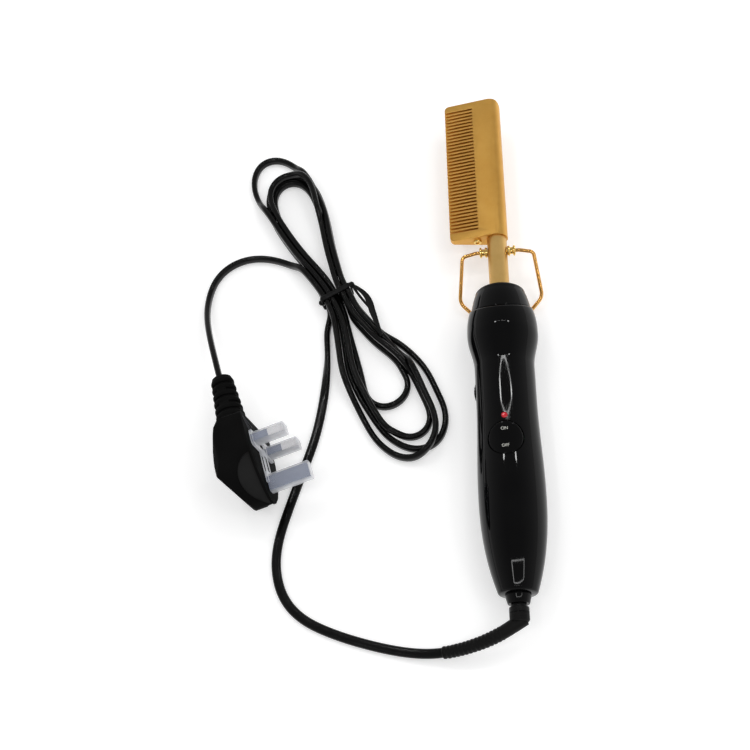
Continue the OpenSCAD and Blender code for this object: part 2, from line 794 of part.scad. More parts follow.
module lamp_led() {
    led_foot = lens_root_z - free_gap - led_len;
    color("red") tool() translate([control_x, -lamp_back, led_foot]) {
        cylinder(d = led_d, h = led_len);
        cylinder(d = led_d + 0.8, h = 1);
        for (x = [-led_leg_x, led_leg_x]) translate([x, 0, led_leg_end - led_foot])
            cylinder(d = led_leg_d, h = led_foot - led_leg_end + 0.5);
    }
}

pot_gap = 0.35;

module temperature_wheel() {
    color(black_plastic) tool() translate([wheel_x, -wheel_back, 0]) difference() {
        union() {
            translate([0, 0, -wheel_t / 2]) cylinder(r = wheel_r, h = wheel_t);
            translate([0, 0, free_gap - board_drop]) cylinder(d = axle_d, h = board_drop - free_gap);
        }
        for (i = [0:knurl_count - 1]) rotate([0, 0, i * 360 / knurl_count])
            translate([wheel_r + knurl_d / 5, 0, -wheel_t]) cylinder(d = knurl_d, h = 2 * wheel_t);
    }
}

module potentiometer() {
    top = -wheel_t / 2 - pot_gap;
    color(grey_plastic) tool() translate([wheel_x, -wheel_back, 0]) difference() {
        translate([0, 0, -board_drop]) cylinder(d = pot_d, h = top + board_drop);
        translate([0, 0, -board_drop - 1]) cylinder(d = axle_d + 2 * run_fit, h = board_drop + 2);
    }
}

// ---------- Electronics ----------

module circuit_board() {
    color(board_green) tool() difference() {
        translate([-board_w / 2, -board_rear, -board_drop - board_t])
            cube([board_w, board_rear - board_front, board_t]);
        for (x = [-led_leg_x, led_leg_x])
            translate([control_x + x, -lamp_back, -board_drop - board_t - 1])
            cylinder(d = led_leg_d + 0.2, h = board_t + 2);
    }
}

transistor_size = [10, 4.4, 9];
transistor_tab = [10, 1.3, 5];
transistor_gap = 12;
capacitor_size = [13, 5.5, 10];
capacitor_gap = 5;

// A power transistor stands on the board with its mounting tab upwards
module power_transistor() {
    color(black_plastic) tool()
        translate([-transistor_size.x / 2, -board_rear + transistor_gap, -board_drop]) {
            cube(transistor_size);
            translate([0, 0, transistor_size.z]) cube(transistor_tab);
        }
}

module capacitor() {
    color("goldenrod") tool()
        translate([-capacitor_size.x / 2, -board_rear + capacitor_gap, -board_drop]) cube(capacitor_size);
}

thermal_fuse_d = 3.4;
thermal_fuse_len = 7.5;

// The thermal fuse lies against the right heater lead, behind the collar
module thermal_fuse() {
    from = collar_rear + 0.5;
    color(steel) tool()
        rod(from, from + thermal_fuse_len, thermal_fuse_d,
            x = (lead_pitch + lead_d + thermal_fuse_d) / 2 + run_fit);
}

// ---------- Tail and swivel ----------

holder_rear = inner_rear - free_gap;
holder_front = holder_rear - stem_len + 4;
holder_r = 7;
ring_bore_r = stem_r + run_fit;

module tail_ring() {
    plug_r = ring_front_r - 1.5;
    color(black_plastic) tool() turned() polygon([
        [ring_bore_r, inner_rear - 1.2], [plug_r + 1.4, inner_rear - 1.2], [plug_r + 1.4, inner_rear - 0.1],
        [plug_r, inner_rear - 0.1], [plug_r, handle_back + 0.1], [ring_front_r, handle_back + 0.1],
        [ring_front_r, handle_back + 1], [ring_rear_r, ring_back], [ring_bore_r, ring_back]]);
}

stem_front = holder_rear - stem_len;

module swivel_barrel() {
    gap = 0.15;
    color(black_plastic) tool() turned() polygon([
        [0, stem_front], [stem_r, stem_front], [stem_r, ring_back + gap], [neck_r, ring_back + gap],
        [neck_r, neck_back], [barrel_r - 0.5, neck_back], [barrel_r, neck_back + 0.5],
        [barrel_r, barrel_back], [0, barrel_back]]);
}

slip_ring_t = 0.6;
slip_ring_w = 3;
slip_backs = [stem_front + 3, stem_front + 8];

module slip_rings() {
    color(bright_brass) tool() for (b = slip_backs)
        ring(b, b + slip_ring_w, stem_r + slip_ring_t, stem_r + seat_fit);
}

module slip_ring_holder() {
    color(grey_plastic) tool() difference() {
        ring(stem_front - 1.5, holder_rear - 1.2, holder_r, 0);
        ring(stem_front - free_gap, holder_rear, stem_r + slip_ring_t + 1.4);
        for (b = slip_backs) translate([-spring_w / 2 - free_gap, -b - slip_ring_w, 0])
            cube([spring_w + 2 * free_gap, slip_ring_w, holder_r + 1]);
    }
}

spring_w = 1.8;
spring_gap = 0.5;
spring_over = 1.2;
spring_top = holder_r + spring_over;

// Each contact spring comes through the holder to just above its slip ring
module contact_springs() {
    foot = stem_r + slip_ring_t + free_gap;
    color(bright_brass) tool() for (b = slip_backs)
        translate([-spring_w / 2, -b - slip_ring_w + spring_gap, foot])
            cube([spring_w, slip_ring_w - 2 * spring_gap, spring_top - foot]);
}

mains_lead_x = 1.5;

// The mains leads run from the springs to behind the capacitor and down to the board
module mains_leads() {
    z = spring_top + lead_d / 2 + run_fit;
    color(ceramic_white) tool() for (i = [0, 1]) {
        x = i == 0 ? -mains_lead_x : mains_lead_x;
        front = board_rear - lead_d;
        rod(front - lead_d / 2, slip_backs[i] + slip_ring_w / 2, lead_d, x = x, z = z);
        translate([x, -front, -board_drop]) cylinder(d = lead_d, h = board_drop + z);
    }
}

// ---------- Cord ----------

// Point t of the way from point i to the next, on a smooth curve through the points
function spline(p, i, t) =
    let (n = len(p) - 1, a = p[max(i - 1, 0)], b = p[i], c = p[min(i + 1, n)], d = p[min(i + 2, n)])
    0.5 * (2 * b + (c - a) * t + (2 * a - 5 * b + 4 * c - d) * t * t + (3 * b - a - 3 * c + d) * t * t * t);

function smooth(p, n) =
    concat([for (i = [0:len(p) - 2], k = [0:n - 1]) spline(p, i, k / n)], [p[len(p) - 1]]);

// One ring of a tube: half width a across the path, half height b up
function tube_ring(p, dir, a, b, sides) =
    let (across = unit(cross(dir, [0, 0, 1])), up = unit(cross(across, dir)))
    [for (k = [0:sides - 1]) p + across * a * cos(360 * k / sides) + up * b * sin(360 * k / sides)];

function path_dir(path, i) = unit(path[min(i + 1, len(path) - 1)] - path[max(i - 1, 0)]);

// A closed tube swept along a path, with its half width and half height at each ring
module tube(path, halves, sides) {
    rings = len(path);
    points = [for (i = [0:rings - 1])
        each tube_ring(path[i], path_dir(path, i), halves[i].x, halves[i].y, sides)];
    quads = [for (i = [0:rings - 2], k = [0:sides - 1])
        [i * sides + k, i * sides + (k + 1) % sides, (i + 1) * sides + (k + 1) % sides, (i + 1) * sides + k]];
    ends = [[for (k = [sides - 1:-1:0]) k], [for (k = [0:sides - 1]) (rings - 1) * sides + k]];
    polyhedron(points, concat(quads, ends), convexity = 6);
}

boot_neck_gap = 0.15;
boot_head_len = 4.4;
boot_pts = [[2.6, -2.6, 16.1], [-2.5, -5.6, 15.8], [-9.9, -9.4, 14.5], [-18.3, -12.3, 12.1],
    [-27.5, -14.2, 9.1], [-35, -15, 6.6], [-39.2, -15.2, 5.6]];
boot_ribs = 8;
boot_rib = 0.25;

// Half width of the boot along its length, with ribs behind its plain front quarter
function boot_half(u) =
    lerp(boot_r, boot_end_r, u) + (u > 0.25 && sin(360 * boot_ribs * u) > 0 ? boot_rib : 0);

// The cord's route is measured from the floor point under the handle's tail
module at_tail() {
    translate([tool_x, tool_y - tail_end_back * cos(tilt), 0]) children();
}

module cord_boot() {
    path = smooth(boot_pts, 7);
    last = len(path) - 1;
    front = barrel_back + boot_neck_gap;
    behind = 100;
    color(black_plastic) {
        tool() ring(front, front + boot_head_len, barrel_r);
        intersection() {
            at_tail() tube(path, [for (i = [0:last]) [boot_half(i / last), boot_half(i / last)]], 12);
            tool() translate([-behind, -front - behind, -behind]) cube([2 * behind, behind, 2 * behind]);
        }
    }
}

// Route of the cord from the boot to the hank, by hand
handle_pts = [
    [-39.2, -15.2, 5.6], [-47.7, -15.2, 4], [-60.9, -13, 2.2], [-77.5, -8.5, 1.8],
    [-94.7, -2.4, 1.8], [-110.9, 5.8, 1.8], [-121.5, 17.5, 1.8], [-126, 34.1, 1.8],
    [-124.6, 49.9, 1.8], [-119.7, 66.1, 1.8], [-113, 85.5, 1.8], [-105.8, 106.4, 1.8],
    [-100.8, 127.6, 1.8], [-98, 145.8, 1.8], [-96.6, 161, 1.8]];
// Route of the cord from the hank to the plug, by hand
plug_pts = [
    [-112, 211.5, 2.8], [-124.9, 220.1, 2.8], [-136.9, 224.4, 2.8], [-148.5, 224.8, 2.8],
    [-159.7, 220.1, 2.8], [-167, 211.4, 2.9], [-170, 200.6, 3.8], [-169.5, 188.3, 6.6],
    [-166.7, 175.3, 12], [-163.2, 163.2, 17], [-159.3, 150.6, 20.6], [-155.4, 137.2, 21.8]];
// Corners of the hank's outline, by hand
hank_pts = [
    [-132.9, 296.8], [-142, 293.5], [-147.1, 285.4], [-145.4, 272.5], [-136.9, 252.3],
    [-130.8, 239.5], [-120.4, 222.2], [-109.5, 206], [-104, 191], [-99.4, 176.2], [-97.2, 163.4],
    [-92.7, 150.4], [-88.5, 135.2], [-81.5, 115], [-72.1, 100], [-61.7, 91.2], [-52.1, 88.2],
    [-41.6, 91.6], [-33.9, 99.5], [-30.7, 109.3], [-32.1, 122.9], [-38, 139.9], [-48.3, 156.4],
    [-59.3, 166.2], [-69.8, 176.6], [-81.5, 191], [-89, 205.5], [-92.9, 222.1], [-96.2, 238.5],
    [-100.7, 254.2], [-108.6, 270.6], [-117.1, 285.2], [-125, 293.4]];

module cord_handle_side() {
    path = smooth(handle_pts, 2);
    color(black_plastic) at_tail()
        tube(path, [for (p = path) [cord_w / 2, min(cord_t, 2 * p.z) / 2]], 8);
}

module cord_plug_side() {
    path = smooth(plug_pts, 3);
    color(black_plastic) at_tail()
        tube(path, [for (p = path) [cord_t / 2, min(cord_w, 2 * p.z) / 2]], 8);
}

function closed_smooth(p, n) =
    let (m = len(p)) [for (i = [0:m - 1], k = [0:n - 1])
        spline([p[(i + m - 1) % m], p[i], p[(i + 1) % m], p[(i + 2) % m]], 1, k / n)];

tie_at = [-95.1, 193];
tie_turn = 27.5;
tie_half = 9;
tie_gap = 0.1;

module at_tie() {
    at_tail() translate([tie_at.x, tie_at.y, 0]) rotate([0, 0, tie_turn]) children();
}

module cord_hank() {
    color(black_plastic) difference() {
        at_tail() linear_extrude(hank_h) polygon(closed_smooth(hank_pts, 2));
        at_tie() difference() {
            translate([-2 * tie_half, -tie_w / 2 - 2 * tie_gap, -1])
                cube([4 * tie_half, tie_w + 4 * tie_gap, hank_h + 2]);
            translate([-tie_half, -tie_w, tie_t + tie_gap])
                cube([2 * tie_half, 2 * tie_w, hank_h - 2 * tie_t - 2 * tie_gap]);
        }
    }
}

// Outline of the tie's loose end, from the band outwards, by hand
leaf_pts = [
    [-90, 198.2], [-84.4, 199.4], [-78, 194.4], [-74, 186], [-71.4, 176], [-68.6, 167], [-66.9, 156],
    [-67.9, 155.8], [-71, 166], [-73.8, 175], [-76.8, 184.6], [-80.4, 191.8], [-85, 196.2], [-88.6, 195.2]];

module cord_tie() {
    inner = tie_half + tie_gap;
    outer = inner + tie_t;
    color(black_plastic) {
        at_tie() difference() {
            translate([-outer, -tie_w / 2, 0]) cube([2 * outer, tie_w, hank_h]);
            translate([-inner, -tie_w, tie_t]) cube([2 * inner, 2 * tie_w, hank_h - 2 * tie_t]);
        }
        at_tie() translate([0, -tie_w / 2, hank_h]) cube([outer, tie_w, tie_t]);
        at_tail() translate([0, 0, hank_h]) linear_extrude(tie_t) polygon(leaf_pts);
    }
}

// ---------- Plug ----------

// The plug lies on one of its sides: its place and turn on the floor, seen from the handle's tail
plug_xy = [-131.2, 94.4];
plug_yaw = 14.7;
plug_z = plug_half_w * cos(plug_slope);

module plug() {
    at_tail() translate([plug_xy.x, plug_xy.y, plug_z]) rotate([0, -plug_slope, plug_yaw]) children();
}

// A block along X between two stations, centred on y and z
module bar_x(from, to, size_y, size_z, y = 0, z = 0) {
    translate([from, y - size_y / 2, z - size_z / 2]) cube([to - from, size_y, size_z]);
}

side_back = plug_half_w - plug_depth * tan(plug_slope);
carrier_w = 8.4;
carrier_len = fuse_len + 2;
carrier_depth = 9.5;
carrier_y = -10.4;
carrier_fit = 0.15;
clip_len = 2.5;
clip_w = 5;
mould = 2 * seat_fit;

plug_len = plug_cord_end + plug_earth_end;

// Outline from the side, in shares of the plug's depth and of its length behind the cord end
side_outline = [for (p = [[0, 0], [0.6, 0], [0.75, 0.086], [0.92, 0.334], [1, 0.517], [0.99, 0.636],
        [0.61, 0.925], [0.47, 1], [0, 1]])
    [-p.x * plug_depth, plug_cord_end - p.y * plug_len]];
// Half of the outline of the face, in shares of the half width and of the length
face_half = [for (p = [[1, 0.356], [0.88, 0.537], [0.695, 0.72], [0.472, 0.871], [0.215, 0.972]])
    [p.x * plug_half_w, plug_cord_end - p.y * plug_len]];
corner_r = 3;

// The plug's shape is where its outlines from the side, from the cord end and from the face meet
module plug_shape() {
    wide = 2 * plug_half_w;
    edge_x = -0.8 * plug_depth;
    edge_z = plug_half_w + edge_x * tan(plug_slope);
    intersection() {
        translate([0, 0, -wide / 2]) linear_extrude(wide) polygon(side_outline);
        translate([0, plug_cord_end, 0]) rotate([90, 0, 0]) linear_extrude(plug_cord_end + plug_earth_end)
            polygon([[0, plug_half_w], [edge_x, edge_z], [-plug_depth, side_back - 3.5],
                [-plug_depth, 3.5 - side_back], [edge_x, -edge_z], [0, -plug_half_w]]);
        rotate([0, -90, 0]) linear_extrude(plug_depth) polygon(concat(
            arc([plug_half_w - corner_r, plug_cord_end - corner_r], corner_r, 0, 90, 5),
            arc([corner_r - plug_half_w, plug_cord_end - corner_r], corner_r, 90, 180, 5),
            [for (p = face_half) [-p.x, p.y]], [[0, -plug_earth_end]],
            [for (i = [len(face_half) - 1:-1:0]) face_half[i]]));
    }
}

module plug_body() {
    color(black_plastic) plug() difference() {
        plug_shape();
        for (side = [-1, 1])
            bar_x(-pin_root, 1, pin_t + mould, line_pin_w + mould, z = side * pin_spacing / 2);
        bar_x(-pin_root, 1, earth_pin_w + mould, pin_t + mould, y = -earth_spacing);
        bar_x(-carrier_depth - clip_len, 1, carrier_w + 2 * carrier_fit, carrier_len + 2 * carrier_fit,
            y = carrier_y);
    }
}

relief_ribs = 7;
rib_w = 1.9;
rib_over = 0.5;

module plug_relief() {
    color(black_plastic) plug() translate([-relief_drop, plug_cord_end, 0]) rotate([-90, 0, 0]) {
        cylinder(r1 = relief_root_r, r2 = relief_end_r, h = relief_len);
        for (i = [1:relief_ribs]) {
            u = i / (relief_ribs + 1);
            translate([0, 0, relief_len * u])
                cylinder(r = lerp(relief_root_r, relief_end_r, u) + rib_over, h = rib_w);
        }
    }
}

pin_core_w = line_pin_w - 2 * pin_sleeve_wall;
pin_core_t = pin_t - 2 * pin_sleeve_wall;
sleeve_root = 0.55;

// Cuts a bevel along the four edges of a pin's tip
module tip_bevels(len, size_y, size_z, bevel) {
    long = 2 * max(size_y, size_z);
    for (side = [-1, 1]) {
        translate([len, side * size_y / 2, 0]) rotate([0, 0, 45]) cube([bevel, bevel, long], center = true);
        translate([len, 0, side * size_z / 2]) rotate([0, 45, 0]) cube([bevel, long, bevel], center = true);
    }
}

// A brass pin: a root in the body, a thin core under the sleeve, and a full-size tip
module line_pin(side) {
    color(bright_brass) plug() translate([0, 0, side * pin_spacing / 2]) difference() {
        union() {
            bar_x(-pin_root, -sleeve_root - seat_fit, pin_t, line_pin_w);
            bar_x(-pin_root, line_pin_len, pin_core_t, pin_core_w);
            bar_x(pin_sleeve_len, line_pin_len, pin_t, line_pin_w);
        }
        tip_bevels(line_pin_len, pin_t, line_pin_w, 1.2);
    }
}

module live_pin() line_pin(1);
module neutral_pin() line_pin(-1);

module line_pin_sleeve(side) {
    color(grey_plastic) plug() translate([0, 0, side * pin_spacing / 2]) difference() {
        bar_x(-sleeve_root, pin_sleeve_len - seat_fit, pin_t, line_pin_w);
        bar_x(-1, pin_sleeve_len + 1, pin_core_t + 2 * seat_fit, pin_core_w + 2 * seat_fit);
    }
}

module live_pin_sleeve() line_pin_sleeve(1);
module neutral_pin_sleeve() line_pin_sleeve(-1);

module earth_pin() {
    color(grey_plastic) plug() translate([0, -earth_spacing, 0]) difference() {
        bar_x(-pin_root, earth_pin_len, earth_pin_w, pin_t);
        tip_bevels(earth_pin_len, earth_pin_w, pin_t, 1.6);
    }
}

carrier_front_t = 2;
fuse_x = -carrier_front_t - fuse_d / 2 - 0.1;
fuse_cap_len = 6;
fuse_cap_z = (fuse_len - fuse_cap_len) / 2;

module plug_fuse() {
    color(ceramic_white) plug() translate([fuse_x, carrier_y, 0]) {
        cylinder(d = fuse_d - 0.4, h = fuse_len, center = true);
        for (side = [-1, 1]) translate([0, 0, side * fuse_cap_z])
            cylinder(d = fuse_d, h = fuse_cap_len, center = true);
    }
}

module fuse_carrier() {
    color(black_plastic) plug() difference() {
        bar_x(-carrier_depth + 2, 0, carrier_w, carrier_len, y = carrier_y);
        bar_x(-carrier_depth, -carrier_front_t, fuse_d + free_gap, fuse_len + free_gap, y = carrier_y);
    }
}

module fuse_clips() {
    color(bright_brass) plug() for (side = [-1, 1])
        bar_x(-carrier_depth - clip_len + 0.1, fuse_x - fuse_d / 2 - 0.1, clip_w, clip_w,
            y = carrier_y, z = side * fuse_cap_z);
}

// One sleeve of the cover: closed at the tip, open at the web
module cover_sleeve(len, size_y, size_z, y, z) {
    bar_x(0, len + cover_fit + cover_wall, size_y + 2 * (cover_fit + cover_wall),
        size_z + 2 * (cover_fit + cover_wall), y, z);
}

module cover_pocket(len, size_y, size_z, y, z) {
    bar_x(-1, len + cover_fit, size_y + 2 * cover_fit, size_z + 2 * cover_fit, y, z);
}

web_w = 9;
web_over = 5;
web_seat = 0.1;
line_window = [4.4, pin_spacing - line_pin_w - 6];
earth_window = [9, 4.6];
earth_window_shift = 0.6;

module pin_cover() {
    color(clear_cover) plug() translate([web_seat, 0, 0]) difference() {
        union() {
            bar_x(0, web_t, web_w, pin_spacing + 2 * web_over);
            bar_x(0, web_t, earth_spacing, web_w, y = -earth_spacing / 2);
            for (side = [-1, 1]) cover_sleeve(line_pin_len, pin_t, line_pin_w, 0, side * pin_spacing / 2);
            cover_sleeve(earth_pin_len, earth_pin_w, pin_t, -earth_spacing, 0);
        }
        for (side = [-1, 1]) cover_pocket(line_pin_len, pin_t, line_pin_w, 0, side * pin_spacing / 2);
        cover_pocket(earth_pin_len, earth_pin_w, pin_t, -earth_spacing, 0);
        bar_x(-1, web_t + 1, line_window[0], line_window[1]);
        bar_x(-1, web_t + 1, earth_window[0], earth_window[1], y = earth_window_shift - earth_spacing / 2);
    }
}

// ---------- What is drawn ----------

comb_head();
head_screw();
heater_cartridge();
temperature_sensor();
heater_leads();
lead_sleeve();
shaft_tube();
left_pivot_bush();
right_pivot_bush();
stand_wire();
front_collar();
insulating_flange();
handle_top_shell();
handle_bottom_shell();
handle_screws();
power_button();
button_pin();
button_frame();
power_switch();
lamp_lens();
lamp_led();
temperature_wheel();
potentiometer();
circuit_board();
power_transistor();
capacitor();
thermal_fuse();
tail_ring();
swivel_barrel();
slip_rings();
slip_ring_holder();
contact_springs();
mains_leads();
cord_boot();
cord_handle_side();
cord_hank();
cord_tie();
cord_plug_side();
plug_relief();
plug_body();
live_pin();
neutral_pin();
earth_pin();
live_pin_sleeve();
neutral_pin_sleeve();
plug_fuse();
fuse_carrier();
fuse_clips();
pin_cover();
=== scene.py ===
import json
import math

import bmesh
import bpy
import numpy as np
from mathutils import Matrix, Vector

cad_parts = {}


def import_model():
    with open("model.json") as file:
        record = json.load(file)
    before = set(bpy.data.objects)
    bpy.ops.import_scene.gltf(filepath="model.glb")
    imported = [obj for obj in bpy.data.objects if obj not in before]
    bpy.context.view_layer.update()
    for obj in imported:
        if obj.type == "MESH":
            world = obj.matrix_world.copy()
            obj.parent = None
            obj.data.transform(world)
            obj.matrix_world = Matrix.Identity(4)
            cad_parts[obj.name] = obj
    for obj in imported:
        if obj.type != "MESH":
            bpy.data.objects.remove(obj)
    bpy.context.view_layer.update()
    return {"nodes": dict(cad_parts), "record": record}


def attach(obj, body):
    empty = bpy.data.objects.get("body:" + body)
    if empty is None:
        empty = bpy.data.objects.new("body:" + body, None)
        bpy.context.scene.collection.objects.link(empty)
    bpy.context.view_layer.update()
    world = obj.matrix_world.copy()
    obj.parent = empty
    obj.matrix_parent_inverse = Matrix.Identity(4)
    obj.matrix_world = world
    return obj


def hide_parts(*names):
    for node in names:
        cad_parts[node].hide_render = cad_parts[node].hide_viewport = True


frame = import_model()
nodes = frame["nodes"]

MM = 0.001

# ---------- Places, in millimetres ----------

# The tool's frame: the stand's hinge, and the tilt of the handle's axis
HINGE = np.array([1.15487, 52.0783, 20.1649])
TILT = math.radians(1.08817)
# The floor point under the tail, which the cord and the plug are measured from
TAIL = np.array([1.15487, -152.4848, 0.0])


def lerp(a, b, t):
    return a + (b - a) * t


def fade(t):
    return (1 + math.cos(math.pi * t)) / 2


# ---------- Materials ----------


class Nodes:
    """A short way to write the node tree of a material or of the world."""

    def __init__(self, owner, out="ShaderNodeOutputMaterial"):
        owner.use_nodes = True
        self.owner, self.tree = owner, owner.node_tree
        self.tree.nodes.clear()
        self.out = self.add(out)
        self.places = self.add("ShaderNodeTexCoord").outputs
        self.coords = self.places["Object"]

    def add(self, kind, inputs=None, **settings):
        n = self.tree.nodes.new(kind)
        for key, value in settings.items():
            setattr(n, key, value)
        for key, value in (inputs or {}).items():
            if isinstance(value, bpy.types.NodeSocket):
                self.tree.links.new(value, n.inputs[key])
            else:
                n.inputs[key].default_value = value
        return n

    def noise(self, scale, detail=3.0, rough=0.55, vector=None):
        ins = {"Vector": vector or self.coords, "Scale": scale, "Detail": detail, "Roughness": rough}
        return self.add("ShaderNodeTexNoise", ins).outputs["Fac"]

    def stretched(self, x, y, z):
        ins = {"Vector": self.coords, "Scale": (x, y, z)}
        return self.add("ShaderNodeMapping", ins).outputs["Vector"]

    def span(self, value, low, high, frm=0.3, to=0.7):
        ins = {"Value": value, "From Min": frm, "From Max": to, "To Min": low, "To Max": high}
        return self.add("ShaderNodeMapRange", ins).outputs["Result"]

    def blend(self, factor, a, b):
        ins = {0: factor, 6: (*a, 1.0), 7: (*b, 1.0)}
        return self.add("ShaderNodeMix", ins, data_type="RGBA").outputs[2]

    def math(self, op, a, b=0.0):
        return self.add("ShaderNodeMath", {0: a, 1: b}, operation=op).outputs[0]

    def bump(self, height, microns):
        ins = {"Height": height, "Distance": microns * 0.000001, "Strength": 1.0}
        return self.add("ShaderNodeBump", ins).outputs["Normal"]

    def surface(self, shader):
        self.tree.links.new(shader.outputs[0], self.out.inputs["Surface"])
        return self.owner

    def shader(self, **inputs):
        named = {k.replace("_", " ").title().replace("Ior", "IOR"): v for k, v in inputs.items()}
        return self.surface(self.add("ShaderNodeBsdfPrincipled", named))


def new_look(name):
    return Nodes(bpy.data.materials.new(name + "_look"))


def rgb(r, g, b):
    return (r, g, b, 1.0)


LOOKS = {}


def plastic(name, dark, light, rough_from, rough_to, grain, microns, level):
    """Moulded plastic: broad shade changes, a fine grain and slightly uneven gloss."""
    n = new_look(name)
    colour = n.blend(n.span(n.noise(45.0, 4.0), 0.0, 1.0), dark, light)
    rough = n.span(n.noise(180.0), rough_from, rough_to)
    normal = n.bump(n.noise(grain, 2.0), microns)
    LOOKS[name] = n.shader(base_color=colour, roughness=rough, specular_ior_level=level, normal=normal)


def metal(name, dark, light, rough_from, rough_to, microns, metallic=1.0, brush=(1, 1, 1)):
    """Plated metal: tarnish in broad patches and a fine brushed or cast grain."""
    n = new_look(name)
    colour = n.blend(n.span(n.noise(60.0, 4.0, 0.6), 0.0, 1.0), dark, light)
    rough = n.span(n.noise(180.0), rough_from, rough_to)
    normal = n.bump(n.noise(700.0, 4.0, 0.6, n.stretched(*brush)), microns)
    LOOKS[name] = n.shader(base_color=colour, roughness=rough, metallic=metallic, normal=normal)


# Darker and lighter shade, roughness from and to, bump in microns, metallic, stretch of the grain
metal("head_gold", (0.66, 0.35, 0.075), (0.74, 0.42, 0.10), 0.36, 0.46, 12, brush=(1, 0.15, 1))
metal("shaft_gold", (0.66, 0.41, 0.13), (0.74, 0.48, 0.17), 0.36, 0.46, 10)
metal("stand_gold", (0.72, 0.38, 0.10), (0.82, 0.47, 0.15), 0.12, 0.2, 4)
metal("bright_brass", (0.85, 0.57, 0.16), (0.92, 0.66, 0.24), 0.08, 0.16, 3)
metal("steel", (0.50, 0.50, 0.52), (0.62, 0.62, 0.63), 0.2, 0.35, 8)
# pin_metal is the pins' own pale nickel colour, and its diffuse share, from a metallic of only 0.45,
# is a painted reflection of the white surroundings.
metal("pin_metal", (0.66, 0.65, 0.66), (0.74, 0.73, 0.74), 0.3, 0.42, 8, 0.45, (0.2, 1, 1))
# Darker and lighter shade, roughness from and to, scale of the grain, bump in microns, specular level
plastic("black_gloss", (0.0014, 0.0014, 0.0016), (0.0024, 0.0024, 0.0026), 0.025, 0.05, 700, 0.6, 0.13)
plastic("black_matte", (0.0022, 0.0022, 0.0024), (0.0045, 0.0045, 0.0045), 0.32, 0.42, 1200, 10, 0.14)
plastic("black_rubber", (0.0024, 0.0024, 0.0024), (0.005, 0.0048, 0.0046), 0.42, 0.55, 1400, 10, 0.12)
plastic("cord_black", (0.0016, 0.0016, 0.0016), (0.0032, 0.0031, 0.003), 0.16, 0.22, 1400, 4, 0.18)
plastic("plug_black", (0.003, 0.003, 0.003), (0.0055, 0.0055, 0.0055), 0.62, 0.72, 1500, 30, 0.03)
plastic("plug_grip", (0.013, 0.013, 0.013), (0.02, 0.02, 0.02), 0.6, 0.7, 1100, 40, 0.05)
# The lines on the plug's face: a pale grey painted highlight.
plastic("plug_painted_highlight", (0.09, 0.09, 0.1), (0.15, 0.15, 0.16), 0.5, 0.6, 1100, 20, 0.2)
plastic("grey_plastic", (0.20, 0.24, 0.30), (0.26, 0.30, 0.37), 0.4, 0.5, 1200, 10, 0.4)
plastic("pin_grey", (0.15, 0.18, 0.26), (0.19, 0.22, 0.31), 0.35, 0.5, 1200, 10, 0.3)
plastic("ceramic", (0.68, 0.65, 0.58), (0.78, 0.75, 0.69), 0.5, 0.7, 1500, 30, 0.4)
plastic("lead_insulation", (0.6, 0.58, 0.52), (0.7, 0.68, 0.62), 0.5, 0.65, 1800, 20, 0.4)
plastic("board_green", (0.02, 0.12, 0.05), (0.03, 0.17, 0.07), 0.3, 0.45, 900, 20, 0.5)
plastic("capacitor_film", (0.5, 0.25, 0.03), (0.6, 0.33, 0.05), 0.3, 0.4, 900, 10, 0.5)
plastic("print", (0.42, 0.42, 0.38), (0.55, 0.55, 0.5), 0.4, 0.5, 1500, 4, 0.4)


def red_lens(name):
    n = new_look(name)
    colour = n.blend(n.span(n.noise(400.0), 0.0, 1.0), (0.32, 0.006, 0.014), (0.5, 0.012, 0.022))
    LOOKS[name] = n.shader(
        base_color=colour,
        roughness=n.span(n.noise(900.0), 0.08, 0.14),
        # The faint red emission is a painted glow that makes the lens look lit.
        emission_color=rgb(0.9, 0.02, 0.04),
        emission_strength=0.12,
        normal=n.bump(n.noise(1200.0), 6),
    )


def clear_cover(name):
    """Clear plastic: seen through where it faces the eye, with paler edges that are a painted sheen
    for reflection at glancing angles.
    """
    n = new_look(name)
    colour = n.blend(n.span(n.noise(250.0), 0.0, 1.0), (0.84, 0.86, 0.92), (0.93, 0.94, 0.97))
    # The facing weight makes the edges more opaque and pale: a painted sheen standing in for
    # reflection.
    edge = n.add("ShaderNodeLayerWeight", {"Blend": 0.35}).outputs["Facing"]
    LOOKS[name] = n.shader(
        base_color=colour,
        roughness=n.span(n.noise(500.0), 0.12, 0.2),
        ior=1.46,
        alpha=n.span(edge, 0.1, 0.92, 0.15, 0.8),
        normal=n.bump(n.noise(900.0), 6),
    )


red_lens("red_lens")
clear_cover("clear_cover")

# Every CAD node takes its slot's look
for part in frame["record"]["subparts"]:
    materials = nodes[part["node"]].data.materials
    materials.clear()
    materials.append(LOOKS[part["material_slot"]])

# ---------- Building pieces ----------

TOOL = Matrix.Translation(Vector(HINGE * MM)) @ Matrix.Rotation(TILT, 4, "X") @ Matrix.Scale(MM, 4)
PLUG_AT = TAIL + np.array([-131.2, 94.4, 23.1361])
PLUG = (Matrix.Translation(Vector(PLUG_AT * MM)) @ Matrix.Rotation(math.radians(14.7), 4, "Z")
        @ Matrix.Rotation(math.radians(-6.8), 4, "Y") @ Matrix.Scale(MM, 4))
WORLD = Matrix.Scale(MM, 4)
WORLD_TAIL = Matrix.Translation(Vector(TAIL * MM)) @ WORLD


def linked(name, data):
    """A new object in the scene."""
    obj = bpy.data.objects.new(name, data)
    bpy.context.scene.collection.objects.link(obj)
    return obj


def from_bmesh(name, b):
    mesh = bpy.data.meshes.new(name)
    b.to_mesh(mesh)
    b.free()
    return linked(name, mesh)


def solid(name, verts, faces):
    """An object whose mesh is in its own frame's millimetres."""
    mesh = bpy.data.meshes.new(name)
    mesh.from_pydata([tuple(map(float, v)) for v in verts], [], faces)
    b = bmesh.new()
    b.from_mesh(mesh)
    bmesh.ops.remove_doubles(b, verts=b.verts, dist=1e-4)
    bmesh.ops.recalc_face_normals(b, faces=b.faces)
    b.to_mesh(mesh)
    b.free()
    return linked(name, mesh)


